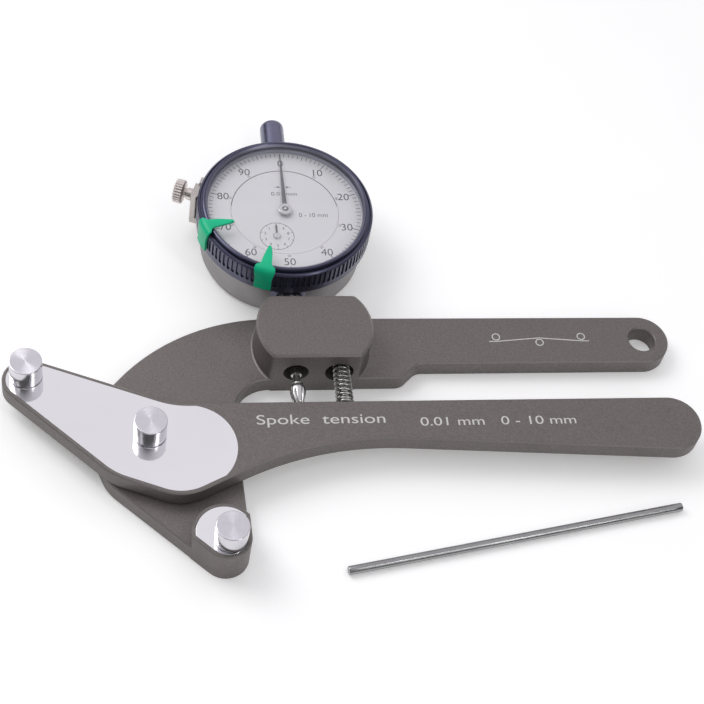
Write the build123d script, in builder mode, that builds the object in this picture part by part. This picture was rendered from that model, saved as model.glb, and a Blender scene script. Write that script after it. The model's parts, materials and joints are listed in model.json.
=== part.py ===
from build123d import *
import os
from math import acos, atan2, cos, degrees, hypot, pi, radians, sin, tan

os.makedirs("parts", exist_ok=True)

# A hand-held spoke tensiometer: two arms crossing on a pivot, three anvil pins,
# and a dial indicator that reads how far a spoke bends over the middle pin.
# Millimetres. Origin: on the table, on the pivot axis. +X runs along the handles,
# +Y towards the dial, +Z up.

# --- arms ---
REAR_TOP = 6.4
FRONT_BOTTOM = 6.5
FRONT_TOP = 12.5
BLOCK_TOP = 19.0
BLOCK_FRONT_X = (38.6, 66.6)
BLOCK_BACK_X = (38.8, 66.6)
BLOCK_BULGE_X = (34.1, 71.4)
BLOCK_BULGE_Y = 36.0
BLOCK_CORNER = 2.2
BLOCK_CHAMFER = 0.7
EDGE_CHAMFER = 0.4
NEAR_EDGE_Y = 23.6
FAR_EDGE_Y = 47.6
FRONT_EDGE_Y = 11.1
HOLE_CENTRE = (164.4, 38.3)
HOLE_RADIUS = 4.5

# --- anvil pins and wear plates ---
ANVIL_RADIUS = 5.0
ANVIL_TOP = 20.0
ANVIL_EDGE = 0.35
FRONT_TIP = (-36.9, 21.9)
REAR_TIP = (22.3, -36.4)
PLATE_THICKNESS = 1.2
PLATE_RIM = 1.1
PLATE_GAP = 0.08
TIP_SHANK_RADIUS = 3.0
TIP_SCREW_RADIUS = 1.5
TIP_SCREW_HEAD_RADIUS = 2.8
TIP_SOCKET_DEPTH = 1.2
FIT_GAP = 0.1
PIVOT_RADIUS = 4.0
BUSH_RADIUS = 5.0
RUNNING_GAP = 0.05
WASHER_RADIUS = 9.0

# --- handle travel and return spring ---
TRAVEL_DEG = 8.0
STOP_RADIUS = 1.5
STOP_AT = (14.0, -6.0)
STOP_HOLE_DEPTH = 4.4
STOP_PIN_Z = 2.4
STOP_PIN_LENGTH = 6.6
STOP_SLOT_MARGIN = 0.8
SPRING_X = 61.0
SPRING_HOLE_X = 60.3
SPRING_HOLE_RADIUS = 4.6
SPRING_HOLE_END_Y = 36.0
SPRING_MEAN_RADIUS = 2.4
SPRING_WIRE_RADIUS = 0.45
SPRING_PITCH = 1.65
SPRING_END_GAP = 0.05
GUIDE_PIN_RADIUS = 1.5
GUIDE_PIN_DEPTH = 6.0
GUIDE_PIN_LENGTH = 12.0
GUIDE_PIN_EDGE = 0.4

# --- dial indicator ---
DIAL_X = 46.5
DIAL_Y = 80.8
STEM_Z = 10.0
STEM_RADIUS = 4.0
STEM_END_Y = 30.0
STEM_SCREW_Y = 40.0
STEM_SCREW_Z = 0.6
STEM_SCREW_RADIUS = 1.95
STEM_SCREW_HOLE_RADIUS = 2.0
CASE_RADIUS = 26.9
CASE_WALL = 2.0
CASE_BOTTOM = 1.8
CASE_TOP = 18.5
BEZEL_RADIUS = 29.0
BEZEL_BOTTOM = 14.25
BEZEL_SHOULDER = 23.2
BEZEL_TOP = 24.6
BEZEL_BORE = 26.1
LIP_RADIUS = 25.6
DIAL_FACE_Z = 20.6
DIAL_PLATE_RADIUS = 17.8
SPINDLE_RADIUS = 2.5
SPINDLE_END_Y = 118.0
CAP_RADIUS = 4.15
CAP_END_Y = 129.3
COUNTER_ANGLE = 252.0
GEAR_MODULE = 0.2
RACK_PITCH = 0.625
ADDENDUM = 0.85
DEDENDUM = 1.2
PRESSURE_ANGLE = 20
CLAMP_ANGLE = 159.5
MARKER_ANGLES = (198.0, 254.0)

# --- calibration rod, loose on the table ---
ROD_RADIUS = 1.4
ROD_EDGE = 0.3
ROD_START = (57.6, -41.0)
ROD_END = (166.0, -24.5)

dial_frame = Plane(origin=(DIAL_X, DIAL_Y, 0))
case_inner = CASE_RADIUS - CASE_WALL


def along_y(x, y, z):
    """A plane at (x, y, z) whose normal runs along +Y."""
    return Plane(origin=(x, y, z), x_dir=(1, 0, 0), z_dir=(0, 1, 0))


def dial_radial(angle):
    """The dial's frame turned so that its X runs outwards at this angle."""
    turn = radians(angle)
    return Plane(origin=(DIAL_X, DIAL_Y, 0), x_dir=(cos(turn), sin(turn), 0), z_dir=(0, 0, 1))


def on_dial(radius, angle, z=0.0):
    """A point at this radius and angle from the dial's axis."""
    turn = radians(angle)
    return (DIAL_X + radius * cos(turn), DIAL_Y + radius * sin(turn), z)


def flank_angle(teeth, pitch_radius, radius, thinning):
    """Half the angle that an involute tooth fills at this radius."""
    pressure = radians(PRESSURE_ANGLE)
    base = pitch_radius * cos(pressure)
    at_pitch = tan(pressure) - pressure
    here = acos(min(1.0, base / max(radius, base)))
    return pi / (2 * teeth) * (1 - thinning) + at_pitch - (tan(here) - here)


def gear_outline(teeth, module, first_tooth_deg, thinning=0.2):
    """Points of a spur gear whose first tooth is centred at first_tooth_deg."""
    pitch_radius = teeth * module / 2
    root = pitch_radius - DEDENDUM * module
    tip = pitch_radius + ADDENDUM * module
    radii = (root, pitch_radius, tip)
    points = []
    for tooth in range(teeth):
        centre = radians(first_tooth_deg) + 2 * pi * tooth / teeth
        for radius in radii:
            turn = centre - flank_angle(teeth, pitch_radius, radius, thinning)
            points.append((radius * cos(turn), radius * sin(turn)))
        for radius in reversed(radii):
            turn = centre + flank_angle(teeth, pitch_radius, radius, thinning)
            points.append((radius * cos(turn), radius * sin(turn)))
    return points


# ---------------------------------------------------------------- arm outlines
# Corner points with the radius that rounds each one.
REAR_CORNERS = [
    ((173.4, 29.2), 9.15),
    ((173.4, FAR_EDGE_Y), 9.15),
    ((10.8, FAR_EDGE_Y), 64.0),
    ((-21.2, 9.6), 28.0),
    ((-13.0, -13.1), 15.0),
    ((29.3, -53.2), 7.2),
    ((26.3, NEAR_EDGE_Y), 12.0),
    ((81.3, NEAR_EDGE_Y), 5.0),
    ((87.0, 29.2), 5.0),
]
FRONT_CORNERS = [
    ((174.7, FRONT_EDGE_Y), 9.6),
    ((7.6, FRONT_EDGE_Y), 25.0),
    ((-69.1, 41.3), 7.5),
    ((-11.4, -14.3), 20.0),
    ((9.55, -22.7), 15.0),
    ((51.8, -1.6), 100.0),
    ((174.7, -9.04), 9.6),
]
BOSS_CENTRE = (20.6, -34.2)
BOSS_RADIUS = 9.7
PLATE_END_CENTRE = (11.2, -4.8)
PLATE_END_RADIUS = 15.1


def rounded(corners):
    """Draws the closed outline in the sketch that is open."""
    with BuildLine() as outline:
        FilletPolyline(*[point for point, _ in corners], radius=[r for _, r in corners], close=True)
    make_face(outline.edges())


with BuildSketch() as rear_outline:
    rounded(REAR_CORNERS)

with BuildSketch() as front_outline:
    rounded(FRONT_CORNERS)

# The raised boss at the rear arm's tip follows the arm's outline and a round back.
with BuildSketch() as tip_boss:
    rounded(REAR_CORNERS)
    with Locations(BOSS_CENTRE):
        Circle(BOSS_RADIUS, mode=Mode.INTERSECT)

with BuildSketch() as tip_plate_outline:
    add(tip_boss.sketch)
    offset(amount=-PLATE_RIM, mode=Mode.REPLACE)

# The front plate follows the arm's edge and ends in a round nose on the handle's side.
with BuildSketch() as plate_trim:
    with Locations((PLATE_END_CENTRE[0] - 40.0, 0)):
        Rectangle(80.0, 120.0)
    with Locations(PLATE_END_CENTRE):
        Circle(PLATE_END_RADIUS)

with BuildSketch() as front_plate_outline:
    add(front_outline.sketch)
    offset(amount=-PLATE_RIM, mode=Mode.REPLACE)
    add(plate_trim.sketch, mode=Mode.INTERSECT)

# The clamp block is barrel-shaped: straight front and back, bulging sides.
with BuildSketch() as block_outline:
    with BuildLine():
        Line((BLOCK_FRONT_X[0], NEAR_EDGE_Y), (BLOCK_FRONT_X[1], NEAR_EDGE_Y))
        ThreePointArc((BLOCK_FRONT_X[1], NEAR_EDGE_Y), (BLOCK_BULGE_X[1], BLOCK_BULGE_Y),
                      (BLOCK_BACK_X[1], FAR_EDGE_Y))
        Line((BLOCK_BACK_X[1], FAR_EDGE_Y), (BLOCK_BACK_X[0], FAR_EDGE_Y))
        ThreePointArc((BLOCK_BACK_X[0], FAR_EDGE_Y), (BLOCK_BULGE_X[0], BLOCK_BULGE_Y),
                      (BLOCK_FRONT_X[0], NEAR_EDGE_Y))
    make_face()
    fillet(block_outline.vertices(), BLOCK_CORNER)

# ---------------------------------------------------------------- rear arm
WASHER_RECESS = 0.55
TIP_SEAT_Z = 6.0
SCREW_HEAD_DEPTH = 2.2
BORE_RADIUS = STEM_RADIUS + 0.05

FOOT_RADIUS = 0.9
FOOT_STEPS = 4
FOOT_MARGIN = 0.02

# concave foot around the clamp block, cut to the arm's edge
with BuildPart() as block_foot:
    for step in range(FOOT_STEPS):
        lower = pi / 2 * step / FOOT_STEPS
        upper = pi / 2 * (step + 1) / FOOT_STEPS
        with BuildSketch(Plane.XY.offset(REAR_TOP + FOOT_RADIUS * (1 - cos(lower)))):
            add(block_outline.sketch)
            offset(amount=FOOT_MARGIN + FOOT_RADIUS * (1 - sin(lower)), mode=Mode.REPLACE)
        with BuildSketch(Plane.XY.offset(REAR_TOP + FOOT_RADIUS * (1 - cos(upper)))):
            add(block_outline.sketch)
            offset(amount=FOOT_MARGIN + FOOT_RADIUS * (1 - sin(upper)), mode=Mode.REPLACE)
        loft()
    with BuildSketch(Plane.XY.offset(REAR_TOP)):
        add(rear_outline.sketch)
        offset(amount=-EDGE_CHAMFER - FOOT_MARGIN, mode=Mode.REPLACE)
    extrude(amount=FOOT_RADIUS, mode=Mode.INTERSECT)

with BuildPart() as rear_arm:
    with BuildSketch():
        add(rear_outline.sketch)
    extrude(amount=REAR_TOP)
    chamfer(rear_arm.faces().sort_by(Axis.Z)[-1].edges(), EDGE_CHAMFER)
    chamfer(rear_arm.faces().sort_by(Axis.Z)[0].edges(), EDGE_CHAMFER)
    with BuildSketch():
        add(block_outline.sketch)
    extrude(amount=BLOCK_TOP)
    chamfer(rear_arm.faces().sort_by(Axis.Z)[-1].edges(), BLOCK_CHAMFER)
    add(block_foot.part)
    with BuildSketch():
        add(tip_boss.sketch)
    extrude(amount=FRONT_TOP)
    boss_top = rear_arm.faces().filter_by(Axis.Z).filter_by_position(Axis.Z, FRONT_TOP - 0.1, FRONT_TOP + 0.1)
    chamfer(boss_top.edges(), EDGE_CHAMFER)
    # pocket for the small wear plate, seat and screw hole of the tip pin
    with BuildSketch(Plane.XY.offset(FRONT_TOP)):
        add(tip_plate_outline.sketch)
    extrude(amount=-PLATE_THICKNESS, mode=Mode.SUBTRACT)
    with Locations((*REAR_TIP, FRONT_TOP)):
        CounterBoreHole(TIP_SCREW_RADIUS, TIP_SHANK_RADIUS, FRONT_TOP - TIP_SEAT_Z)
    with BuildSketch():
        with Locations(REAR_TIP):
            Circle(TIP_SCREW_HEAD_RADIUS)
    extrude(amount=SCREW_HEAD_DEPTH, mode=Mode.SUBTRACT)
    # pivot hole, washer recess, stop pin hole, hanging hole
    with Locations((0, 0, REAR_TOP)):
        CounterBoreHole(PIVOT_RADIUS, WASHER_RADIUS, WASHER_RECESS)
    with Locations((*STOP_AT, REAR_TOP)):
        Hole(STOP_RADIUS, depth=STOP_HOLE_DEPTH)
    with Locations((*HOLE_CENTRE, REAR_TOP)):
        Hole(HOLE_RADIUS)
    rim = rear_arm.edges().filter_by(GeomType.CIRCLE).filter_by(lambda e: abs(e.radius - HOLE_RADIUS) < 0.01)
    chamfer(rim.filter_by_position(Axis.Z, REAR_TOP - 0.1, REAR_TOP + 0.1), EDGE_CHAMFER)
    # bore for the indicator's stem, blind hole for the return spring, clamp screw hole
    with BuildSketch(along_y(DIAL_X, NEAR_EDGE_Y - 1, STEM_Z)):
        Circle(BORE_RADIUS)
    extrude(amount=FAR_EDGE_Y - NEAR_EDGE_Y + 2, mode=Mode.SUBTRACT)
    with BuildSketch(along_y(SPRING_HOLE_X, NEAR_EDGE_Y - 1, STEM_Z)):
        Circle(SPRING_HOLE_RADIUS)
    extrude(amount=SPRING_HOLE_END_Y - NEAR_EDGE_Y + 1, mode=Mode.SUBTRACT)
    with BuildSketch():
        with Locations((DIAL_X, STEM_SCREW_Y)):
            Circle(STEM_SCREW_HOLE_RADIUS)
    extrude(amount=STEM_Z, mode=Mode.SUBTRACT)
rear_arm.part.label = "rear_arm"
export_step(rear_arm.part, "parts/rear_arm.step")

with BuildPart() as rear_wear_plate:
    with BuildSketch(Plane.XY.offset(FRONT_TOP - PLATE_THICKNESS)):
        add(tip_plate_outline.sketch)
        offset(amount=-PLATE_GAP, mode=Mode.REPLACE)
        with Locations(REAR_TIP):
            Circle(TIP_SHANK_RADIUS, mode=Mode.SUBTRACT)
    extrude(amount=PLATE_THICKNESS)
rear_wear_plate.part.label = "rear_wear_plate"
export_step(rear_wear_plate.part, "parts/rear_wear_plate.step")


def tip_pin_solid(centre, seat_z, screw_end_z):
    """An anvil pin with a shank in the arm, tapped from below. Added to the open part."""
    with BuildSketch(Plane.XY.offset(FRONT_TOP)) as section:
        with Locations(centre):
            Circle(ANVIL_RADIUS)
    extrude(section.sketch, amount=ANVIL_TOP - FRONT_TOP)
    with BuildSketch(Plane.XY.offset(seat_z)) as section:
        with Locations(centre):
            Circle(TIP_SHANK_RADIUS)
    extrude(section.sketch, amount=FRONT_TOP - seat_z)
    with BuildSketch(Plane.XY.offset(seat_z)) as section:
        with Locations(centre):
            Circle(TIP_SCREW_RADIUS)
    extrude(section.sketch, amount=screw_end_z - seat_z, mode=Mode.SUBTRACT)


def cap_screw(centre, head_bottom, head_top, end_z, socket):
    """A socket screw put in from below. Added to the open part."""
    with BuildSketch(Plane.XY.offset(head_bottom)) as section:
        with Locations(centre):
            Circle(TIP_SCREW_HEAD_RADIUS - FIT_GAP)
    extrude(section.sketch, amount=head_top - head_bottom)
    with BuildSketch(Plane.XY.offset(head_top)) as section:
        with Locations(centre):
            Circle(TIP_SCREW_RADIUS)
    extrude(section.sketch, amount=end_z - head_top)
    with BuildSketch(Plane.XY.offset(head_bottom)) as section:
        with Locations(centre):
            RegularPolygon(socket, 6)
    extrude(section.sketch, amount=TIP_SOCKET_DEPTH, mode=Mode.SUBTRACT)


REAR_SCREW_END = 13.0
REAR_SCREW_Z = 0.2
REAR_SOCKET_RADIUS = 1.4
FRONT_SEAT_Z = 8.6
FRONT_SCREW_END = 13.5
FRONT_HEAD_DEPTH = 1.3
FRONT_SOCKET_RADIUS = 1.0

with BuildPart() as rear_tip_pin:
    tip_pin_solid(REAR_TIP, TIP_SEAT_Z, REAR_SCREW_END)
    chamfer(rear_tip_pin.faces().sort_by(Axis.Z)[-1].edges(), ANVIL_EDGE)
rear_tip_pin.part.label = "rear_tip_pin"
export_step(rear_tip_pin.part, "parts/rear_tip_pin.step")

with BuildPart() as rear_tip_screw:
    cap_screw(REAR_TIP, REAR_SCREW_Z, SCREW_HEAD_DEPTH, REAR_SCREW_END, REAR_SOCKET_RADIUS)
rear_tip_screw.part.label = "rear_tip_screw"
export_step(rear_tip_screw.part, "parts/rear_tip_screw.step")

# The pivot pin is pressed through the rear arm, flush below; its head is the middle anvil.
with BuildPart() as pivot_pin:
    Cylinder(PIVOT_RADIUS, FRONT_TOP + RUNNING_GAP, align=(Align.CENTER, Align.CENTER, Align.MIN))
    with Locations((0, 0, FRONT_TOP + RUNNING_GAP)):
        Cylinder(ANVIL_RADIUS, ANVIL_TOP - FRONT_TOP - RUNNING_GAP,
                 align=(Align.CENTER, Align.CENTER, Align.MIN))
    chamfer(pivot_pin.faces().sort_by(Axis.Z)[-1].edges(), ANVIL_EDGE)
pivot_pin.part.label = "pivot_pin"
export_step(pivot_pin.part, "parts/pivot_pin.step")

with BuildPart() as thrust_washer:
    with BuildSketch(Plane.XY.offset(REAR_TOP - WASHER_RECESS)):
        Circle(WASHER_RADIUS - FIT_GAP)
        Circle(PIVOT_RADIUS + FIT_GAP, mode=Mode.SUBTRACT)
    extrude(amount=WASHER_RECESS + RUNNING_GAP)
thrust_washer.part.label = "thrust_washer"
export_step(thrust_washer.part, "parts/thrust_washer.step")

with BuildPart() as travel_stop_pin:
    with Locations((*STOP_AT, STOP_PIN_Z)):
        Cylinder(STOP_RADIUS, STOP_PIN_LENGTH, align=(Align.CENTER, Align.CENTER, Align.MIN))
    chamfer(travel_stop_pin.faces().sort_by(Axis.Z)[-1].edges(), ANVIL_EDGE)
travel_stop_pin.part.label = "travel_stop_pin"
export_step(travel_stop_pin.part, "parts/travel_stop_pin.step")

# ---------------------------------------------------------------- front arm
stop_turn = degrees(atan2(STOP_AT[1], STOP_AT[0]))
stop_distance = hypot(*STOP_AT)
STOP_SLOT_Z = 9.4

with BuildPart() as front_arm:
    with BuildSketch(Plane.XY.offset(FRONT_BOTTOM)):
        add(front_outline.sketch)
    extrude(amount=FRONT_TOP - FRONT_BOTTOM)
    chamfer(front_arm.faces().sort_by(Axis.Z)[-1].edges(), EDGE_CHAMFER)
    chamfer(front_arm.faces().sort_by(Axis.Z)[0].edges(), EDGE_CHAMFER)
    with BuildSketch(Plane.XY.offset(FRONT_TOP)):
        add(front_plate_outline.sketch)
    extrude(amount=-PLATE_THICKNESS, mode=Mode.SUBTRACT)
    with Locations((0, 0, FRONT_TOP)):
        Hole(BUSH_RADIUS)
    with Locations((*FRONT_TIP, FRONT_TOP)):
        CounterBoreHole(TIP_SCREW_RADIUS, TIP_SHANK_RADIUS, FRONT_TOP - FRONT_SEAT_Z)
    with BuildSketch(Plane.XY.offset(FRONT_BOTTOM)):
        with Locations(FRONT_TIP):
            Circle(TIP_SCREW_HEAD_RADIUS)
    extrude(amount=FRONT_HEAD_DEPTH, mode=Mode.SUBTRACT)
    # curved slot for the stop pin: the arm turns forward from rest by its travel
    with BuildSketch(Plane.XY.offset(FRONT_BOTTOM)):
        with BuildLine():
            slot_path = CenterArc((0, 0), stop_distance, stop_turn - TRAVEL_DEG - STOP_SLOT_MARGIN,
                                  TRAVEL_DEG + STOP_SLOT_MARGIN)
        SlotArc(slot_path, 2 * STOP_RADIUS + 0.1)
    extrude(amount=STOP_SLOT_Z - FRONT_BOTTOM, mode=Mode.SUBTRACT)
    # hole for the spring's guide pin in the far edge
    with BuildSketch(along_y(SPRING_X, FRONT_EDGE_Y - GUIDE_PIN_DEPTH, STEM_Z)):
        Circle(GUIDE_PIN_RADIUS)
    extrude(amount=GUIDE_PIN_DEPTH + 1, mode=Mode.SUBTRACT)
front_arm.part.label = "front_arm"
export_step(front_arm.part, "parts/front_arm.step")

with BuildPart() as front_wear_plate:
    with BuildSketch(Plane.XY.offset(FRONT_TOP - PLATE_THICKNESS)):
        add(front_plate_outline.sketch)
        offset(amount=-PLATE_GAP, mode=Mode.REPLACE)
        Circle(PIVOT_RADIUS + 0.3, mode=Mode.SUBTRACT)
        with Locations(FRONT_TIP):
            Circle(TIP_SHANK_RADIUS, mode=Mode.SUBTRACT)
    extrude(amount=PLATE_THICKNESS)
front_wear_plate.part.label = "front_wear_plate"
export_step(front_wear_plate.part, "parts/front_wear_plate.step")

with BuildPart() as front_tip_pin:
    tip_pin_solid(FRONT_TIP, FRONT_SEAT_Z, FRONT_SCREW_END)
    chamfer(front_tip_pin.faces().sort_by(Axis.Z)[-1].edges(), ANVIL_EDGE)
front_tip_pin.part.label = "front_tip_pin"
export_step(front_tip_pin.part, "parts/front_tip_pin.step")

with BuildPart() as front_tip_screw:
    cap_screw(FRONT_TIP, FRONT_BOTTOM + RUNNING_GAP, FRONT_BOTTOM + FRONT_HEAD_DEPTH, FRONT_SCREW_END,
              FRONT_SOCKET_RADIUS)
front_tip_screw.part.label = "front_tip_screw"
export_step(front_tip_screw.part, "parts/front_tip_screw.step")

with BuildPart() as pivot_bush:
    with BuildSketch(Plane.XY.offset(FRONT_BOTTOM)):
        Circle(BUSH_RADIUS)
        Circle(PIVOT_RADIUS + RUNNING_GAP, mode=Mode.SUBTRACT)
    extrude(amount=FRONT_TOP - PLATE_THICKNESS - FRONT_BOTTOM)
pivot_bush.part.label = "pivot_bush"
export_step(pivot_bush.part, "parts/pivot_bush.step")

with BuildPart() as spring_guide_pin:
    with BuildSketch(along_y(SPRING_X, FRONT_EDGE_Y - GUIDE_PIN_DEPTH, STEM_Z)):
        Circle(GUIDE_PIN_RADIUS)
    extrude(amount=GUIDE_PIN_LENGTH)
    chamfer(spring_guide_pin.faces().sort_by(Axis.Y)[-1].edges(), GUIDE_PIN_EDGE)
spring_guide_pin.part.label = "spring_guide_pin"
export_step(spring_guide_pin.part, "parts/spring_guide_pin.step")

# The compression spring seats in the block's blind hole and on the front arm's far edge.
spring_start_y = FRONT_EDGE_Y + SPRING_WIRE_RADIUS + SPRING_END_GAP
spring_length = SPRING_HOLE_END_Y - SPRING_WIRE_RADIUS - SPRING_END_GAP - spring_start_y

with BuildPart() as return_spring:
    with BuildLine():
        coil = Helix(pitch=SPRING_PITCH, height=spring_length, radius=SPRING_MEAN_RADIUS,
                     center=(SPRING_X, spring_start_y, STEM_Z), direction=(0, 1, 0))
    with BuildSketch(Plane(origin=coil @ 0, z_dir=coil % 0)):
        Circle(SPRING_WIRE_RADIUS)
    sweep(path=coil, is_frenet=True)
return_spring.part.label = "return_spring"
export_step(return_spring.part, "parts/return_spring.step")

STEM_SOCKET_RADIUS = 1.1
STEM_SOCKET_DEPTH = 2.0

with BuildPart() as stem_clamp_screw:
    with BuildSketch(Plane.XY.offset(STEM_SCREW_Z)):
        with Locations((DIAL_X, STEM_SCREW_Y)):
            Circle(STEM_SCREW_RADIUS)
    extrude(amount=STEM_Z - STEM_RADIUS - STEM_SCREW_Z)
    with BuildSketch(Plane.XY.offset(STEM_SCREW_Z)):
        with Locations((DIAL_X, STEM_SCREW_Y)):
            RegularPolygon(STEM_SOCKET_RADIUS, 6)
    extrude(amount=STEM_SOCKET_DEPTH, mode=Mode.SUBTRACT)
stem_clamp_screw.part.label = "stem_clamp_screw"
export_step(stem_clamp_screw.part, "parts/stem_clamp_screw.step")

# ---------------------------------------------------------------- dial case
LEDGE_Z = 12.6
LEDGE_TOP = 13.0
LEDGE_INNER = 23.2
BOSS_ANGLES = (45, 135, 225, 315)
BOSS_PITCH_RADIUS = 22.9
SNAP_Z0 = 15.9
SNAP_Z1 = 16.9
SNAP_DEPTH = 0.7
POST_RADIUS = 2.1
POST_HEIGHT = 5.0
POST_HOLE_DEPTH = 4.0
COVER_SCREW_RADIUS = 0.9
COVER_HEAD_RADIUS = 1.6
COVER_HEAD_Z = 0.2
COVER_RECESS_DEPTH = 1.0
COVER_SLOT_WIDTH = 0.45
COVER_SLOT_DEPTH = 0.4
SWELLING_RADIUS = 8.0
SWELLING_TIP_RADIUS = 4.6
SWELLING_REACH = 3.2
COVER_INSET = 0.8

with BuildPart() as dial_case:
    # swelling that carries the stem, hollowed and flattened under the bezel
    with BuildSketch(along_y(DIAL_X, DIAL_Y - case_inner - SWELLING_REACH, STEM_Z)):
        Circle(SWELLING_TIP_RADIUS)
    with BuildSketch(along_y(DIAL_X, DIAL_Y - case_inner + SWELLING_REACH / 2, STEM_Z)):
        Circle(SWELLING_RADIUS)
    loft()
    with BuildSketch(dial_frame):
        Circle(case_inner + 0.5)
    extrude(amount=CASE_TOP, mode=Mode.SUBTRACT)
    with BuildSketch(dial_frame.offset(BEZEL_BOTTOM - 0.15)):
        Circle(CASE_RADIUS + SWELLING_RADIUS)
    extrude(amount=SWELLING_RADIUS, mode=Mode.SUBTRACT)
    with BuildSketch(Plane(origin=(DIAL_X, DIAL_Y, 0), x_dir=(1, 0, 0), z_dir=(0, -1, 0))):
        with BuildLine():
            Polyline(
                (case_inner, CASE_BOTTOM), (CASE_RADIUS - COVER_INSET, CASE_BOTTOM),
                (CASE_RADIUS, CASE_BOTTOM + COVER_INSET), (CASE_RADIUS, SNAP_Z0),
                (CASE_RADIUS - SNAP_DEPTH, SNAP_Z0), (CASE_RADIUS - SNAP_DEPTH, SNAP_Z1),
                (CASE_RADIUS, SNAP_Z1), (CASE_RADIUS, CASE_TOP), (case_inner, CASE_TOP),
                (case_inner, LEDGE_TOP), (LEDGE_INNER, LEDGE_TOP), (LEDGE_INNER, LEDGE_Z),
                (case_inner, LEDGE_Z), close=True)
        make_face()
    revolve(axis=Axis((DIAL_X, DIAL_Y, 0), (0, 0, 1)))
    # posts for the back cover's screws
    with BuildSketch(dial_frame.offset(CASE_BOTTOM)):
        with PolarLocations(BOSS_PITCH_RADIUS, 4, start_angle=45):
            Circle(POST_RADIUS)
    extrude(amount=POST_HEIGHT)
    with BuildSketch(dial_frame.offset(CASE_BOTTOM)):
        with PolarLocations(BOSS_PITCH_RADIUS, 4, start_angle=45):
            Circle(COVER_SCREW_RADIUS)
    extrude(amount=POST_HOLE_DEPTH, mode=Mode.SUBTRACT)
    with BuildSketch(along_y(DIAL_X, DIAL_Y - 1.5 * CASE_RADIUS, STEM_Z)):
        Circle(STEM_RADIUS)
    extrude(amount=3 * CASE_RADIUS, mode=Mode.SUBTRACT)
dial_case.part.label = "dial_case"
export_step(dial_case.part, "parts/dial_case.step")

with BuildPart() as back_cover:
    with BuildSketch(dial_frame):
        Circle(CASE_RADIUS - COVER_INSET)
    extrude(amount=CASE_BOTTOM)
    chamfer(back_cover.faces().sort_by(Axis.Z)[0].edges(), 0.5)
    with Locations(*[on_dial(BOSS_PITCH_RADIUS, a, 0) for a in BOSS_ANGLES]):
        Cylinder(COVER_SCREW_RADIUS, 3 * CASE_BOTTOM, mode=Mode.SUBTRACT)
        Cylinder(COVER_HEAD_RADIUS + FIT_GAP, 2 * COVER_RECESS_DEPTH, mode=Mode.SUBTRACT)
back_cover.part.label = "back_cover"
export_step(back_cover.part, "parts/back_cover.step")

with BuildPart() as back_cover_screws:
    with BuildSketch(dial_frame.offset(COVER_HEAD_Z)):
        with PolarLocations(BOSS_PITCH_RADIUS, 4, start_angle=45):
            Circle(COVER_HEAD_RADIUS)
    extrude(amount=COVER_RECESS_DEPTH - COVER_HEAD_Z)
    with BuildSketch(dial_frame.offset(COVER_RECESS_DEPTH)):
        with PolarLocations(BOSS_PITCH_RADIUS, 4, start_angle=45):
            Circle(COVER_SCREW_RADIUS)
    extrude(amount=POST_HOLE_DEPTH)
    with BuildSketch(dial_frame.offset(COVER_HEAD_Z)):
        with PolarLocations(BOSS_PITCH_RADIUS, 4, start_angle=45):
            Rectangle(2 * COVER_HEAD_RADIUS + 0.2, COVER_SLOT_WIDTH)
    extrude(amount=COVER_SLOT_DEPTH, mode=Mode.SUBTRACT)
back_cover_screws.part.label = "back_cover_screws"
export_step(back_cover_screws.part, "parts/back_cover_screws.step")

with BuildPart() as stem:
    with BuildSketch(along_y(DIAL_X, STEM_END_Y, STEM_Z)):
        Circle(STEM_RADIUS)
        Circle(SPINDLE_RADIUS + RUNNING_GAP, mode=Mode.SUBTRACT)
    extrude(amount=DIAL_Y - case_inner - STEM_END_Y)
stem.part.label = "stem"
export_step(stem.part, "parts/stem.step")

# ---------------------------------------------------------------- spindle
PINION_TEETH = 16
WHEEL_TEETH = 100
CENTRE_TEETH = 10
arbor_distance = (WHEEL_TEETH + CENTRE_TEETH) * GEAR_MODULE / 2
counter_x = arbor_distance * cos(radians(COUNTER_ANGLE))
counter_y = arbor_distance * sin(radians(COUNTER_ANGLE))
rack_pitch_radius = PINION_TEETH * RACK_PITCH / (2 * pi)
rack_line = counter_x + rack_pitch_radius
rack_module = RACK_PITCH / pi
RACK_TEETH = 19
SPINDLE_START_Y = 28.0
GUIDE_Y = 96.0
GUIDE_PEG_RADIUS = 0.8
GUIDE_PEG_SINK = 2.6
GUIDE_PEG_LENGTH = 7.0

with BuildPart() as spindle:
    with BuildSketch(along_y(DIAL_X, SPINDLE_START_Y, STEM_Z)):
        Circle(SPINDLE_RADIUS)
    extrude(amount=SPINDLE_END_Y - SPINDLE_START_Y)
    # flat and teeth of the rack on the side of its pinion
    rack_tip = rack_line - ADDENDUM * rack_module
    rack_root = rack_line + DEDENDUM * rack_module
    rack_low_y = DIAL_Y + counter_y - (RACK_TEETH - 4) * RACK_PITCH
    with BuildSketch(Plane.XY.offset(STEM_Z - 3.0)):
        with Locations((DIAL_X + rack_tip - 2.0, rack_low_y + RACK_TEETH * RACK_PITCH / 2)):
            Rectangle(4.0, (RACK_TEETH + 1) * RACK_PITCH)
        half_gap = RACK_PITCH / 4 * 1.2
        lean = tan(radians(PRESSURE_ANGLE))
        for gap in range(RACK_TEETH):
            gap_y = rack_low_y + gap * RACK_PITCH
            wide = half_gap + (rack_line - rack_tip) * lean
            narrow = half_gap - (rack_root - rack_line) * lean
            with Locations((DIAL_X, gap_y)):
                Polygon((rack_tip - 0.1, -wide), (rack_root, -narrow), (rack_root, narrow),
                        (rack_tip - 0.1, wide), align=None)
    extrude(amount=6.0, mode=Mode.SUBTRACT)
    with BuildSketch(Plane(origin=(DIAL_X, GUIDE_Y, STEM_Z), x_dir=(0, 1, 0), z_dir=(1, 0, 0))):
        Circle(GUIDE_PEG_RADIUS)
    extrude(amount=GUIDE_PEG_SINK, mode=Mode.SUBTRACT)
spindle.part.label = "spindle"
export_step(spindle.part, "parts/spindle.step")

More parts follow.
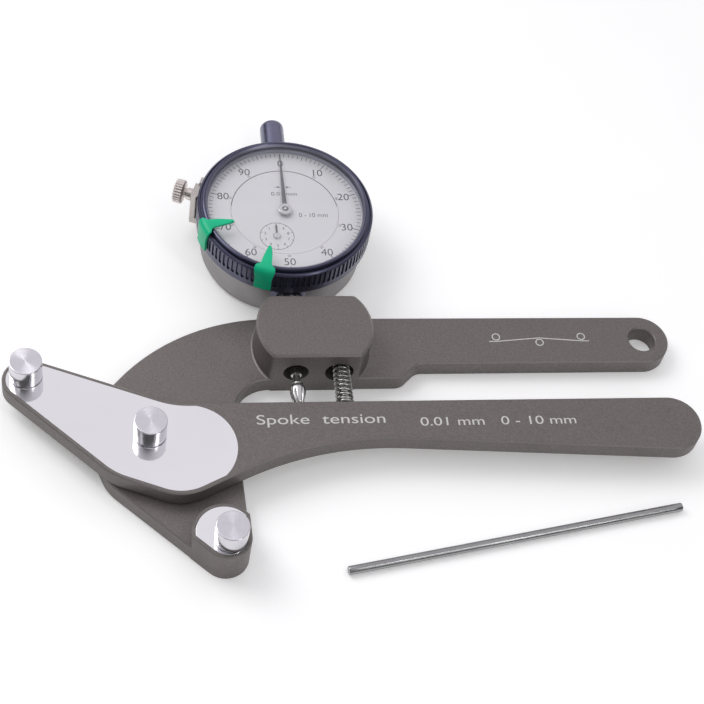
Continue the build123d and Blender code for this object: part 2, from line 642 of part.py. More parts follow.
# The contact point: threaded neck, fluted barrel, rounded end against the front arm.
CONTACT_GAP = 0.03
CONTACT_RADIUS = 2.4
CONTACT_NOSE_RADIUS = 1.5
CONTACT_NECK_RADIUS = 1.25
contact_start = FRONT_EDGE_Y + CONTACT_GAP
nose_end = contact_start + CONTACT_NOSE_RADIUS
barrel_start = contact_start + 6.2
barrel_end = contact_start + 9.0
neck_start = contact_start + 10.6
nose_middle = CONTACT_NOSE_RADIUS * sin(radians(45))

with BuildPart() as contact_point:
    with BuildSketch(Plane(origin=(DIAL_X, 0, STEM_Z), x_dir=(1, 0, 0), z_dir=(0, 0, 1))):
        with BuildLine():
            ThreePointArc((0, contact_start), (nose_middle, nose_end - nose_middle),
                          (CONTACT_NOSE_RADIUS, nose_end))
            Polyline((CONTACT_NOSE_RADIUS, nose_end), (CONTACT_RADIUS, barrel_start),
                     (CONTACT_RADIUS, barrel_end), (CONTACT_NECK_RADIUS, neck_start),
                     (CONTACT_NECK_RADIUS, SPINDLE_START_Y), (0, SPINDLE_START_Y), (0, contact_start))
        make_face()
    revolve(axis=Axis((DIAL_X, 0, STEM_Z), (0, 1, 0)))
contact_point.part.label = "contact_point"
export_step(contact_point.part, "parts/contact_point.step")

with BuildPart() as spindle_guide_pin:
    with BuildSketch(Plane(origin=(DIAL_X, GUIDE_Y, STEM_Z), x_dir=(0, 1, 0), z_dir=(1, 0, 0))):
        Circle(GUIDE_PEG_RADIUS)
    extrude(amount=GUIDE_PEG_LENGTH)
spindle_guide_pin.part.label = "spindle_guide_pin"
export_step(spindle_guide_pin.part, "parts/spindle_guide_pin.step")

RAIL_OFFSET = 6.0
RAIL_START_Y = 91.0
RAIL_LENGTH = 11.4
RAIL_SIZE = (4.0, 6.0)
RAIL_SLOT = 1.7
RAIL_BACK = 0.6

with BuildPart() as guide_rail:
    with BuildSketch(along_y(DIAL_X + RAIL_OFFSET, RAIL_START_Y, STEM_Z)):
        Rectangle(*RAIL_SIZE)
        with Locations((-RAIL_BACK, 0)):
            Rectangle(RAIL_SIZE[0], RAIL_SLOT, mode=Mode.SUBTRACT)
    extrude(amount=RAIL_LENGTH)
guide_rail.part.label = "guide_rail"
export_step(guide_rail.part, "parts/guide_rail.step")

UPPER_BUSH_Y0 = DIAL_Y + case_inner
UPPER_BUSH_Y1 = 109.6
NIPPLE_END_Y = 113.0
NIPPLE_RADIUS = 3.3
CAP_ROUNDING = 2.4
CAP_ROOF = 1.6

with BuildPart() as upper_bush:
    with BuildSketch(along_y(DIAL_X, UPPER_BUSH_Y0, STEM_Z)):
        Circle(STEM_RADIUS)
        Circle(SPINDLE_RADIUS + RUNNING_GAP, mode=Mode.SUBTRACT)
    extrude(amount=UPPER_BUSH_Y1 - UPPER_BUSH_Y0)
    with BuildSketch(along_y(DIAL_X, UPPER_BUSH_Y1, STEM_Z)):
        Circle(NIPPLE_RADIUS)
        Circle(SPINDLE_RADIUS + RUNNING_GAP, mode=Mode.SUBTRACT)
    extrude(amount=NIPPLE_END_Y - UPPER_BUSH_Y1)
upper_bush.part.label = "upper_bush"
export_step(upper_bush.part, "parts/upper_bush.step")

with BuildPart() as spindle_cap:
    with BuildSketch(along_y(DIAL_X, UPPER_BUSH_Y1, STEM_Z)):
        Circle(CAP_RADIUS)
    extrude(amount=CAP_END_Y - UPPER_BUSH_Y1)
    fillet(spindle_cap.faces().sort_by(Axis.Y)[-1].edges(), CAP_ROUNDING)
    with BuildSketch(along_y(DIAL_X, UPPER_BUSH_Y1, STEM_Z)):
        Circle(NIPPLE_RADIUS)
    extrude(amount=CAP_END_Y - UPPER_BUSH_Y1 - CAP_ROOF, mode=Mode.SUBTRACT)
spindle_cap.part.label = "spindle_cap"
export_step(spindle_cap.part, "parts/spindle_cap.step")

PLUNGER_SPRING_START_Y = 63.0
PLUNGER_SPRING_LENGTH = 27.0
PLUNGER_SPRING_Z = 5.5
PLUNGER_SPRING_RADII = (1.2, 0.8)

with BuildPart() as plunger_spring:
    with BuildSketch(along_y(DIAL_X + RAIL_OFFSET, PLUNGER_SPRING_START_Y, PLUNGER_SPRING_Z)):
        Circle(PLUNGER_SPRING_RADII[0])
        Circle(PLUNGER_SPRING_RADII[1], mode=Mode.SUBTRACT)
    extrude(amount=PLUNGER_SPRING_LENGTH)
plunger_spring.part.label = "plunger_spring"
export_step(plunger_spring.part, "parts/plunger_spring.step")

# ---------------------------------------------------------------- movement
LOWER_PLATE_Z = 13.0
LOWER_PLATE_TOP = 13.8
UPPER_PLATE_Z = 17.0
UPPER_PLATE_TOP = 17.8
WHEEL_Z = 14.2
WHEEL_THICKNESS = 0.6
WHEEL_HOLES = (5.4, 5)
WHEEL_HOLE_RADIUS = 2.3
PINION_WIDTH = 3.0
COUNTER_ARBOR_Z = 5.0
COUNTER_ARBOR_LENGTH = 16.2
CENTRE_PINION_WIDTH = 1.2
CENTRE_ARBOR_LENGTH = 9.0
TAKE_UP_ARBOR_LENGTH = 4.4
BRIDGE_Z = 4.6
BRIDGE_THICKNESS = 0.9
BRIDGE_SIZE = (7.4, 5.0)
BRIDGE_X = -5.2
BRIDGE_POST_X = -7.4
BRIDGE_POST_RADIUS = 1.4
LOWER_PLATE_RADIUS = 24.8
UPPER_PLATE_RADIUS = 23.4
PILLAR_POLAR = (20.5, 3, 162)
PILLAR_RADIUS = 1.6
PILLAR_SCREW_RADIUS = 0.7
PILLAR_FLOOR = 0.8
PILLAR_HEAD = (1.5, 0.9)
ARBOR_RADIUS = 0.5
ARBOR_HOLE = 0.54
take_up = (-counter_x, -counter_y)
arbors = [(0, 0), (counter_x, counter_y), take_up]

with BuildPart() as lower_plate:
    with BuildSketch(dial_frame.offset(LOWER_PLATE_Z)):
        Circle(LOWER_PLATE_RADIUS)
        with Locations(*arbors):
            Circle(ARBOR_HOLE, mode=Mode.SUBTRACT)
    extrude(amount=LOWER_PLATE_TOP - LOWER_PLATE_Z)
lower_plate.part.label = "lower_plate"
export_step(lower_plate.part, "parts/lower_plate.step")

with BuildPart() as movement_pillars:
    with BuildSketch(dial_frame.offset(LOWER_PLATE_TOP)):
        with PolarLocations(PILLAR_POLAR[0], PILLAR_POLAR[1], start_angle=PILLAR_POLAR[2]):
            Circle(PILLAR_RADIUS)
    extrude(amount=UPPER_PLATE_Z - LOWER_PLATE_TOP)
    with BuildSketch(dial_frame.offset(LOWER_PLATE_TOP + PILLAR_FLOOR)):
        with PolarLocations(PILLAR_POLAR[0], PILLAR_POLAR[1], start_angle=PILLAR_POLAR[2]):
            Circle(PILLAR_SCREW_RADIUS)
    extrude(amount=UPPER_PLATE_Z - LOWER_PLATE_TOP, mode=Mode.SUBTRACT)
movement_pillars.part.label = "movement_pillars"
export_step(movement_pillars.part, "parts/movement_pillars.step")

with BuildPart() as upper_plate:
    with BuildSketch(dial_frame.offset(UPPER_PLATE_Z)):
        Circle(UPPER_PLATE_RADIUS)
        with Locations(*arbors):
            Circle(ARBOR_HOLE, mode=Mode.SUBTRACT)
        with PolarLocations(PILLAR_POLAR[0], PILLAR_POLAR[1], start_angle=PILLAR_POLAR[2]):
            Circle(PILLAR_SCREW_RADIUS, mode=Mode.SUBTRACT)
    extrude(amount=UPPER_PLATE_TOP - UPPER_PLATE_Z)
upper_plate.part.label = "upper_plate"
export_step(upper_plate.part, "parts/upper_plate.step")

with BuildPart() as movement_screws:
    with BuildSketch(dial_frame.offset(LOWER_PLATE_TOP + PILLAR_FLOOR)):
        with PolarLocations(PILLAR_POLAR[0], PILLAR_POLAR[1], start_angle=PILLAR_POLAR[2]):
            Circle(PILLAR_SCREW_RADIUS)
    extrude(amount=UPPER_PLATE_TOP - LOWER_PLATE_TOP - PILLAR_FLOOR)
    with BuildSketch(dial_frame.offset(UPPER_PLATE_TOP)):
        with PolarLocations(PILLAR_POLAR[0], PILLAR_POLAR[1], start_angle=PILLAR_POLAR[2]):
            Circle(PILLAR_HEAD[0])
    extrude(amount=PILLAR_HEAD[1])
movement_screws.part.label = "movement_screws"
export_step(movement_screws.part, "parts/movement_screws.step")

# The rack's pinion and the counter's wheel share one arbor; teeth mesh at rest.
with BuildPart() as rack_pinion:
    with BuildSketch(Plane(origin=(DIAL_X + counter_x, DIAL_Y + counter_y, STEM_Z - PINION_WIDTH / 2))):
        Polygon(*gear_outline(PINION_TEETH, rack_module, 0.0), align=None)
    extrude(amount=PINION_WIDTH)
    with BuildSketch(Plane(origin=(DIAL_X + counter_x, DIAL_Y + counter_y, COUNTER_ARBOR_Z))):
        Circle(ARBOR_RADIUS)
    extrude(amount=COUNTER_ARBOR_LENGTH)
rack_pinion.part.label = "rack_pinion"
export_step(rack_pinion.part, "parts/rack_pinion.step")

with BuildPart() as counter_wheel:
    with BuildSketch(Plane(origin=(DIAL_X + counter_x, DIAL_Y + counter_y, WHEEL_Z))):
        Polygon(*gear_outline(WHEEL_TEETH, GEAR_MODULE, COUNTER_ANGLE - 180 + 180 / WHEEL_TEETH),
                align=None)
        Circle(ARBOR_RADIUS, mode=Mode.SUBTRACT)
        with PolarLocations(*WHEEL_HOLES):
            Circle(WHEEL_HOLE_RADIUS, mode=Mode.SUBTRACT)
    extrude(amount=WHEEL_THICKNESS)
counter_wheel.part.label = "counter_wheel"
export_step(counter_wheel.part, "parts/counter_wheel.step")

with BuildPart() as pinion_bridge:
    with BuildSketch(dial_frame.offset(BRIDGE_Z)):
        with Locations((BRIDGE_X, counter_y)):
            Rectangle(*BRIDGE_SIZE)
        with Locations((counter_x, counter_y)):
            Circle(ARBOR_HOLE, mode=Mode.SUBTRACT)
    extrude(amount=BRIDGE_THICKNESS)
    with BuildSketch(dial_frame.offset(BRIDGE_Z + BRIDGE_THICKNESS)):
        with Locations((BRIDGE_POST_X, counter_y)):
            Circle(BRIDGE_POST_RADIUS)
    extrude(amount=LOWER_PLATE_Z - BRIDGE_Z - BRIDGE_THICKNESS)
pinion_bridge.part.label = "pinion_bridge"
export_step(pinion_bridge.part, "parts/pinion_bridge.step")

with BuildPart() as centre_pinion:
    with BuildSketch(dial_frame.offset(WHEEL_Z - 0.2)):
        Polygon(*gear_outline(CENTRE_TEETH, GEAR_MODULE, COUNTER_ANGLE), align=None)
    extrude(amount=CENTRE_PINION_WIDTH)
    with BuildSketch(dial_frame.offset(LOWER_PLATE_Z + 0.1)):
        Circle(ARBOR_RADIUS)
    extrude(amount=CENTRE_ARBOR_LENGTH)
centre_pinion.part.label = "centre_pinion"
export_step(centre_pinion.part, "parts/centre_pinion.step")

with BuildPart() as take_up_wheel:
    with BuildSketch(Plane(origin=(DIAL_X + take_up[0], DIAL_Y + take_up[1], WHEEL_Z))):
        Polygon(*gear_outline(WHEEL_TEETH, GEAR_MODULE, COUNTER_ANGLE + 180 / WHEEL_TEETH), align=None)
        with PolarLocations(*WHEEL_HOLES):
            Circle(WHEEL_HOLE_RADIUS, mode=Mode.SUBTRACT)
    extrude(amount=WHEEL_THICKNESS)
    with BuildSketch(Plane(origin=(DIAL_X + take_up[0], DIAL_Y + take_up[1], LOWER_PLATE_Z + 0.1))):
        Circle(ARBOR_RADIUS)
    extrude(amount=TAKE_UP_ARBOR_LENGTH)
take_up_wheel.part.label = "take_up_wheel"
export_step(take_up_wheel.part, "parts/take_up_wheel.step")

# A flat spiral of half circles about two centres; its stud hangs from the upper plate.
HAIR_FIRST_RADIUS = 0.9
HAIR_STEP = 0.5
HAIR_HALF_TURNS = 12
HAIR_Z = 15.6
HAIR_WIDTH = 0.15
HAIR_HEIGHT = 0.5
HAIR_STUD_RADIUS = 0.5

with BuildPart() as hairspring:
    with BuildSketch(Plane(origin=(DIAL_X + take_up[0], DIAL_Y + take_up[1], HAIR_Z))):
        with BuildLine():
            for half in range(HAIR_HALF_TURNS):
                side = half % 2
                centre_x = 0.0 if side == 0 else -HAIR_STEP
                CenterArc((centre_x, 0), HAIR_FIRST_RADIUS + half * HAIR_STEP, 180.0 * side, 180)
        trace(line_width=HAIR_WIDTH)
    extrude(amount=HAIR_HEIGHT)
    with BuildSketch(Plane(origin=(DIAL_X + take_up[0], DIAL_Y + take_up[1], HAIR_Z))):
        with Locations((HAIR_FIRST_RADIUS + (HAIR_HALF_TURNS - 1) * HAIR_STEP - HAIR_STEP, 0)):
            Circle(HAIR_STUD_RADIUS)
    extrude(amount=UPPER_PLATE_Z - HAIR_Z)
hairspring.part.label = "hairspring"
export_step(hairspring.part, "parts/hairspring.step")

# ---------------------------------------------------------------- dial face and pointers
DIAL_THICKNESS = 0.4
DIAL_HOLE_RADIUS = 1.0
DIAL_FEET = (14.0, 3, 30)
DIAL_FOOT_RADIUS = 0.8

with BuildPart() as dial_plate:
    with BuildSketch(dial_frame.offset(DIAL_FACE_Z - DIAL_THICKNESS)):
        Circle(DIAL_PLATE_RADIUS)
        Circle(DIAL_HOLE_RADIUS, mode=Mode.SUBTRACT)
        with Locations((counter_x, counter_y)):
            Circle(DIAL_HOLE_RADIUS, mode=Mode.SUBTRACT)
    extrude(amount=DIAL_THICKNESS)
    with BuildSketch(dial_frame.offset(UPPER_PLATE_TOP)):
        with PolarLocations(DIAL_FEET[0], DIAL_FEET[1], start_angle=DIAL_FEET[2]):
            Circle(DIAL_FOOT_RADIUS)
    extrude(amount=DIAL_FACE_Z - DIAL_THICKNESS - UPPER_PLATE_TOP)
dial_plate.part.label = "dial_plate"
export_step(dial_plate.part, "parts/dial_plate.step")

POINTER_Z = 21.5
POINTER_TIP = 24.4
POINTER_HALF_WIDTH = 0.8
POINTER_TIP_HALF_WIDTH = 0.16
POINTER_EYE_RADIUS = 1.5
POINTER_THICKNESS = 0.2
HUB_RADIUS = 2.3
HUB_HEIGHT = 0.5
COUNTER_POINTER_Z = DIAL_FACE_Z + 0.15
COUNTER_POINTER_TIP = 4.6
COUNTER_EYE_RADIUS = 1.2
COUNTER_POINTER_THICKNESS = 0.35

with BuildPart() as main_pointer:
    with BuildSketch(dial_frame.offset(POINTER_Z)):
        Polygon((-POINTER_HALF_WIDTH, 0), (POINTER_HALF_WIDTH, 0),
                (POINTER_TIP_HALF_WIDTH, POINTER_TIP - 0.6), (0, POINTER_TIP),
                (-POINTER_TIP_HALF_WIDTH, POINTER_TIP - 0.6), align=None)
        Circle(POINTER_EYE_RADIUS)
        Circle(ARBOR_RADIUS, mode=Mode.SUBTRACT)
    extrude(amount=POINTER_THICKNESS)
main_pointer.part.label = "main_pointer"
export_step(main_pointer.part, "parts/main_pointer.step")

with BuildPart() as pointer_cap:
    with BuildSketch(dial_frame.offset(POINTER_Z + POINTER_THICKNESS)):
        Circle(HUB_RADIUS)
        Circle(ARBOR_RADIUS, mode=Mode.SUBTRACT)
    extrude(amount=HUB_HEIGHT)
    chamfer(pointer_cap.faces().sort_by(Axis.Z)[-1].edges().sort_by(SortBy.LENGTH)[-1], 0.2)
pointer_cap.part.label = "pointer_cap"
export_step(pointer_cap.part, "parts/pointer_cap.step")

with BuildPart() as counter_pointer:
    with BuildSketch(Plane(origin=(DIAL_X + counter_x, DIAL_Y + counter_y, COUNTER_POINTER_Z))):
        Polygon((-0.35, 0), (0.35, 0), (0.25, COUNTER_POINTER_TIP), (-0.25, COUNTER_POINTER_TIP), align=None)
        Circle(COUNTER_EYE_RADIUS)
        Circle(ARBOR_RADIUS, mode=Mode.SUBTRACT)
    extrude(amount=COUNTER_POINTER_THICKNESS)
counter_pointer.part.label = "counter_pointer"
export_step(counter_pointer.part, "parts/counter_pointer.step")

# ---------------------------------------------------------------- bezel group
CRYSTAL_Z0 = 22.5
CRYSTAL_Z1 = 23.5
SCALE_Z0 = DIAL_FACE_Z - DIAL_THICKNESS
GROOVE_OUTER = BEZEL_RADIUS - 0.9
RETAINING_RING_INNER = 24.2
SNAP_GAP_WIDTH = 3.0

with BuildPart() as bezel:
    with BuildSketch(Plane(origin=(DIAL_X, DIAL_Y, 0), x_dir=(1, 0, 0), z_dir=(0, -1, 0))):
        with BuildLine():
            Polyline(
                (CASE_RADIUS + 0.05, BEZEL_BOTTOM), (BEZEL_RADIUS - 0.3, BEZEL_BOTTOM),
                (BEZEL_RADIUS, BEZEL_BOTTOM + 0.3), (BEZEL_RADIUS, BEZEL_SHOULDER - 0.4),
                (BEZEL_RADIUS - 0.4, BEZEL_SHOULDER), (GROOVE_OUTER, BEZEL_SHOULDER),
                (GROOVE_OUTER - 0.3, BEZEL_SHOULDER - 0.5), (GROOVE_OUTER - 0.7, BEZEL_SHOULDER - 0.5),
                (GROOVE_OUTER - 0.8, BEZEL_TOP - 0.4), (GROOVE_OUTER - 1.2, BEZEL_TOP),
                (LIP_RADIUS + 0.6, BEZEL_TOP), (LIP_RADIUS, BEZEL_TOP - 0.6), (LIP_RADIUS, CRYSTAL_Z1),
                (BEZEL_BORE, CRYSTAL_Z1), (BEZEL_BORE, CASE_TOP + 0.1), (CASE_RADIUS + 0.05, CASE_TOP + 0.1),
                (CASE_RADIUS + 0.05, SNAP_Z1), (CASE_RADIUS + 0.6, SNAP_Z1), (CASE_RADIUS + 0.6, SNAP_Z0),
                (CASE_RADIUS + 0.05, SNAP_Z0), close=True)
        make_face()
    revolve(axis=Axis((DIAL_X, DIAL_Y, 0), (0, 0, 1)))
bezel.part.label = "bezel"
export_step(bezel.part, "parts/bezel.step")


def ring_solid(outer, inner, low, high):
    """A flat ring about the dial's axis. Added to the open part."""
    with BuildSketch(dial_frame.offset(low)) as section:
        Circle(outer)
        if inner > 0:
            Circle(inner, mode=Mode.SUBTRACT)
    extrude(section.sketch, amount=high - low)


with BuildPart() as bezel_snap_ring:
    ring_solid(CASE_RADIUS + 0.5, CASE_RADIUS - SNAP_DEPTH, SNAP_Z0 + FIT_GAP, SNAP_Z1 - FIT_GAP)
    with BuildSketch(dial_frame):
        with Locations((CASE_RADIUS, 0)):
            Rectangle(2 * SNAP_GAP_WIDTH, SNAP_GAP_WIDTH)
    extrude(amount=BEZEL_TOP, mode=Mode.SUBTRACT)
bezel_snap_ring.part.label = "bezel_snap_ring"
export_step(bezel_snap_ring.part, "parts/bezel_snap_ring.step")

with BuildPart() as crystal:
    ring_solid(BEZEL_BORE, 0, CRYSTAL_Z0, CRYSTAL_Z1)
crystal.part.label = "crystal"
export_step(crystal.part, "parts/crystal.step")

with BuildPart() as crystal_seat_ring:
    ring_solid(BEZEL_BORE, LIP_RADIUS + FIT_GAP, DIAL_FACE_Z, CRYSTAL_Z0)
crystal_seat_ring.part.label = "crystal_seat_ring"
export_step(crystal_seat_ring.part, "parts/crystal_seat_ring.step")

with BuildPart() as scale_ring:
    ring_solid(BEZEL_BORE, DIAL_PLATE_RADIUS + FIT_GAP, SCALE_Z0, DIAL_FACE_Z)
scale_ring.part.label = "scale_ring"
export_step(scale_ring.part, "parts/scale_ring.step")

with BuildPart() as scale_retaining_ring:
    ring_solid(BEZEL_BORE, RETAINING_RING_INNER, SCALE_Z0 - 1.0, SCALE_Z0)
scale_retaining_ring.part.label = "scale_retaining_ring"
export_step(scale_retaining_ring.part, "parts/scale_retaining_ring.step")

# ---------------------------------------------------------------- limit markers
MARKER_GAP = 0.12
MARKER_THICKNESS = 0.7
MARKER_HALF_ANGLE = 5.6
MARKER_TIP = 18.9
MARKER_BOTTOM = 16.0
MARKER_BEND = 1.2
MARKER_LEAF = (2.0, 0.5)


def marker_solid(angle):
    """A clip over the bezel's rim with a pointer towards the scale. Added to the open part."""
    skirt_inner = BEZEL_RADIUS + MARKER_GAP
    skirt_outer = skirt_inner + MARKER_THICKNESS
    top_low = BEZEL_TOP + MARKER_GAP
    top_high = top_low + MARKER_THICKNESS
    start = dial_radial(angle - MARKER_HALF_ANGLE)
    with BuildSketch(Plane(origin=start.origin, x_dir=start.x_dir, z_dir=-start.y_dir)) as section:
        with BuildLine() as profile:
            Polyline(
                (skirt_inner, MARKER_BOTTOM), (skirt_outer, MARKER_BOTTOM),
                (skirt_outer, top_high - MARKER_BEND), (skirt_outer - MARKER_BEND, top_high),
                (LIP_RADIUS, top_high), (LIP_RADIUS, top_low), (skirt_inner, top_low), close=True)
        make_face(profile.edges())
    revolve(section.sketch, axis=Axis(start.origin, (0, 0, 1)), revolution_arc=2 * MARKER_HALF_ANGLE)
    with BuildSketch(dial_radial(angle).offset(top_low)) as section:
        Polygon((BEZEL_BORE, -MARKER_LEAF[0]), (BEZEL_BORE, MARKER_LEAF[0]), (MARKER_TIP, MARKER_LEAF[1]),
                (MARKER_TIP, -MARKER_LEAF[1]), align=None)
    extrude(section.sketch, amount=MARKER_THICKNESS)


with BuildPart() as limit_marker_1:
    marker_solid(MARKER_ANGLES[0])
limit_marker_1.part.label = "limit_marker_1"
export_step(limit_marker_1.part, "parts/limit_marker_1.step")

with BuildPart() as limit_marker_2:
    marker_solid(MARKER_ANGLES[1])
limit_marker_2.part.label = "limit_marker_2"
export_step(limit_marker_2.part, "parts/limit_marker_2.step")

# ---------------------------------------------------------------- bezel clamp
CLAMP_SCREW_Z = 15.8
BRACKET_INNER = BEZEL_RADIUS + 0.4
BRACKET_OUTER = BRACKET_INNER + 2.2
BRACKET_BOTTOM = 5.5
BRACKET_WIDTH = 6.2
BRACKET_HEIGHT = 13.0
BRACKET_ROUNDING = 0.6
BRACKET_FOOT = (4.4, 2.6)
TAB_THICKNESS = 1.0
TAB_REACH = 2.3
TAB_BOTTOM = CLAMP_SCREW_Z - 5.0
TAB_HEIGHT = 8.5
COLLAR_LENGTH = 2.7
COLLAR_RADIUS = 2.1
HEAD_RADIUS = 4.0
HEAD_LENGTH = 3.4
CLAMP_SHANK_RADIUS = 1.5
SHANK_START = BEZEL_RADIUS + 0.08
clamp_frame = dial_radial(CLAMP_ANGLE)
clamp_out = Plane(origin=clamp_frame.from_local_coords((0, 0, CLAMP_SCREW_Z)),
                  x_dir=clamp_frame.y_dir, z_dir=clamp_frame.x_dir)

with BuildPart() as clamp_bracket:
    with BuildSketch(clamp_frame.offset(BRACKET_BOTTOM)):
        with Locations(((BRACKET_INNER + BRACKET_OUTER) / 2, 0)):
            Rectangle(BRACKET_OUTER - BRACKET_INNER, BRACKET_WIDTH)
    extrude(amount=BRACKET_HEIGHT)
    fillet(clamp_bracket.edges().filter_by(Axis.Z).sort_by(Axis.X)[:2], BRACKET_ROUNDING)
    # foot that is fixed to the case's wall
    with BuildSketch(clamp_frame.offset(BRACKET_BOTTOM)):
        with Locations((BEZEL_RADIUS - 0.5, 0)):
            Rectangle(BRACKET_FOOT[0], BRACKET_WIDTH)
        Circle(CASE_RADIUS, mode=Mode.SUBTRACT)
    extrude(amount=BRACKET_FOOT[1])
    # thin tab beside the screw
    with BuildSketch(clamp_frame.offset(TAB_BOTTOM)):
        with Locations((BRACKET_INNER + TAB_THICKNESS / 2, -(BRACKET_WIDTH + TAB_REACH) / 2)):
            Rectangle(TAB_THICKNESS, TAB_REACH + 0.4)
    extrude(amount=TAB_HEIGHT)
    with BuildSketch(clamp_out.offset(CASE_RADIUS)):
        Circle(CLAMP_SHANK_RADIUS + RUNNING_GAP)
    extrude(amount=BRACKET_OUTER - CASE_RADIUS + 1, mode=Mode.SUBTRACT)
clamp_bracket.part.label = "clamp_bracket"
export_step(clamp_bracket.part, "parts/clamp_bracket.step")

with BuildPart() as clamp_screw:
    with BuildSketch(clamp_out.offset(SHANK_START)):
        Circle(CLAMP_SHANK_RADIUS)
    extrude(amount=BRACKET_OUTER + FIT_GAP - SHANK_START)
    with BuildSketch(clamp_out.offset(BRACKET_OUTER + FIT_GAP)):
        Circle(COLLAR_RADIUS)
    extrude(amount=COLLAR_LENGTH)
    with BuildSketch(clamp_out.offset(BRACKET_OUTER + FIT_GAP + COLLAR_LENGTH)):
        Circle(HEAD_RADIUS)
    extrude(amount=HEAD_LENGTH)
clamp_screw.part.label = "clamp_screw"
export_step(clamp_screw.part, "parts/clamp_screw.step")

# ---------------------------------------------------------------- calibration rod
rod_length = hypot(ROD_END[0] - ROD_START[0], ROD_END[1] - ROD_START[1])
rod_dir = ((ROD_END[0] - ROD_START[0]) / rod_length, (ROD_END[1] - ROD_START[1]) / rod_length, 0)

with BuildPart() as calibration_rod:
    with BuildSketch(Plane(origin=(*ROD_START, ROD_RADIUS), x_dir=(0, 0, 1), z_dir=rod_dir)):
        Circle(ROD_RADIUS)
    extrude(amount=rod_length)
    chamfer(calibration_rod.faces().filter_by(GeomType.PLANE).edges(), ROD_EDGE)
calibration_rod.part.label = "calibration_rod"
export_step(calibration_rod.part, "parts/calibration_rod.step")
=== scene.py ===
import json
from math import atan2, cos, pi, radians, sin, sqrt

import bmesh
import bpy
from mathutils import Matrix, Vector

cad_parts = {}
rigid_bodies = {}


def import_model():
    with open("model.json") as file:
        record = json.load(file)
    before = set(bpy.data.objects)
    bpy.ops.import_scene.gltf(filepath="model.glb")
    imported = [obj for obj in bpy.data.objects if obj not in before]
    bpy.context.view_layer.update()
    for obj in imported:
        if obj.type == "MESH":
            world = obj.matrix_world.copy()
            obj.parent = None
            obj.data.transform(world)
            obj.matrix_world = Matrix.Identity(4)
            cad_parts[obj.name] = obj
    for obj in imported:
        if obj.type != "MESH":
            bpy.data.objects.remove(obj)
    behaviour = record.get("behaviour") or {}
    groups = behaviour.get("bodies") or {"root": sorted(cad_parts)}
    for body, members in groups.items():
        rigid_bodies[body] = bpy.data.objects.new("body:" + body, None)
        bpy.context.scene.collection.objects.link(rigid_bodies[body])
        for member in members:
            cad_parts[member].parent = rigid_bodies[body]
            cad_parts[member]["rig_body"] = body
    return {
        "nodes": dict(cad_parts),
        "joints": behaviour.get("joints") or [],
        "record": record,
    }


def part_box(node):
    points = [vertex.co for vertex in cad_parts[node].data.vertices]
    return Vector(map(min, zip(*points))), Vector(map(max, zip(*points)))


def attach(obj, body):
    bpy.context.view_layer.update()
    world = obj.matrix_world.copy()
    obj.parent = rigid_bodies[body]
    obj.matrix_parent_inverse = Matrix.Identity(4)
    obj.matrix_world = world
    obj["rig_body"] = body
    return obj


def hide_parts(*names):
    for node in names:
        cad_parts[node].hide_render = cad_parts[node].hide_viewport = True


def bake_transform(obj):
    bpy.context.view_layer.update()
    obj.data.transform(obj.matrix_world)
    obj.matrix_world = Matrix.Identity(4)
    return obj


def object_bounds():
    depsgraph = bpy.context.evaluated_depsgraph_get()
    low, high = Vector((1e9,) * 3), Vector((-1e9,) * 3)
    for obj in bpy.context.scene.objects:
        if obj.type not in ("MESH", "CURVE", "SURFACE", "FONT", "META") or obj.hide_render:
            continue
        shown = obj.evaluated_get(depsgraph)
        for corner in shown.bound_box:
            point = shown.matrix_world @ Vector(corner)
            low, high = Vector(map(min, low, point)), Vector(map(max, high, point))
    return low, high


# The looks of a hand-held spoke tensiometer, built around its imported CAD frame.
# Everything is in metres in the CAD's own frame; MM turns millimetres into metres.

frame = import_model()
cad_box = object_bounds()
nodes = frame["nodes"]
MM = 0.001

joints = {joint["name"]: joint for joint in frame["joints"]}
mounts = {mount["name"]: mount for mount in frame["record"]["mounts"]}
dial_centre = Vector(joints["bezel_turn"]["pos_m"]).xy.to_3d()
counter_centre = Vector(joints["counter_turn"]["pos_m"]).xy.to_3d()


def top_of(node):
    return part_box(node)[1].z


# ---------------------------------------------------------------- camera, light, floor
CAMERA_PLACE = Vector((-0.02270, -0.27135, 0.43683))
CAMERA_HEADING = radians(16.19)
CAMERA_DOWN = radians(53.55)
CAMERA_ROLL = radians(12.72)
CAMERA_LENS = 84.93


def make_camera():
    ahead = Vector((sin(CAMERA_HEADING) * cos(CAMERA_DOWN), cos(CAMERA_HEADING) * cos(CAMERA_DOWN),
                    -sin(CAMERA_DOWN)))
    right = Vector((cos(CAMERA_HEADING), -sin(CAMERA_HEADING), 0))
    up = right.cross(ahead)
    rolled_right = right * cos(CAMERA_ROLL) + up * sin(CAMERA_ROLL)
    rolled_up = up * cos(CAMERA_ROLL) - right * sin(CAMERA_ROLL)
    data = bpy.data.cameras.new("camera")
    data.sensor_width = 36.0
    data.lens = CAMERA_LENS
    data.clip_start = 0.01
    data.clip_end = 10.0
    camera = bpy.data.objects.new("camera", data)
    bpy.context.scene.collection.objects.link(camera)
    turn = Matrix((rolled_right, rolled_up, -ahead)).transposed()
    camera.matrix_world = Matrix.Translation(CAMERA_PLACE) @ turn.to_4x4()
    bpy.context.scene.camera = camera


# name, place, target, size and power of each light
SOFT_BOXES = (
    ("key", (-0.52, 0.42, 0.75), (0.04, 0.02, 0.0), (0.6, 0.6), 4.2),
    ("low_front", (0.05, -0.75, 0.50), (0.05, 0.02, 0.0), (1.1, 0.16), 0.7),
    ("left_strip", (-0.55, -0.30, 0.55), (0.02, 0.0, 0.0), (0.10, 0.5), 0.2),
    ("right_strip", (0.45, -0.45, 0.60), (0.05, 0.0, 0.0), (0.10, 0.5), 0.8),
)


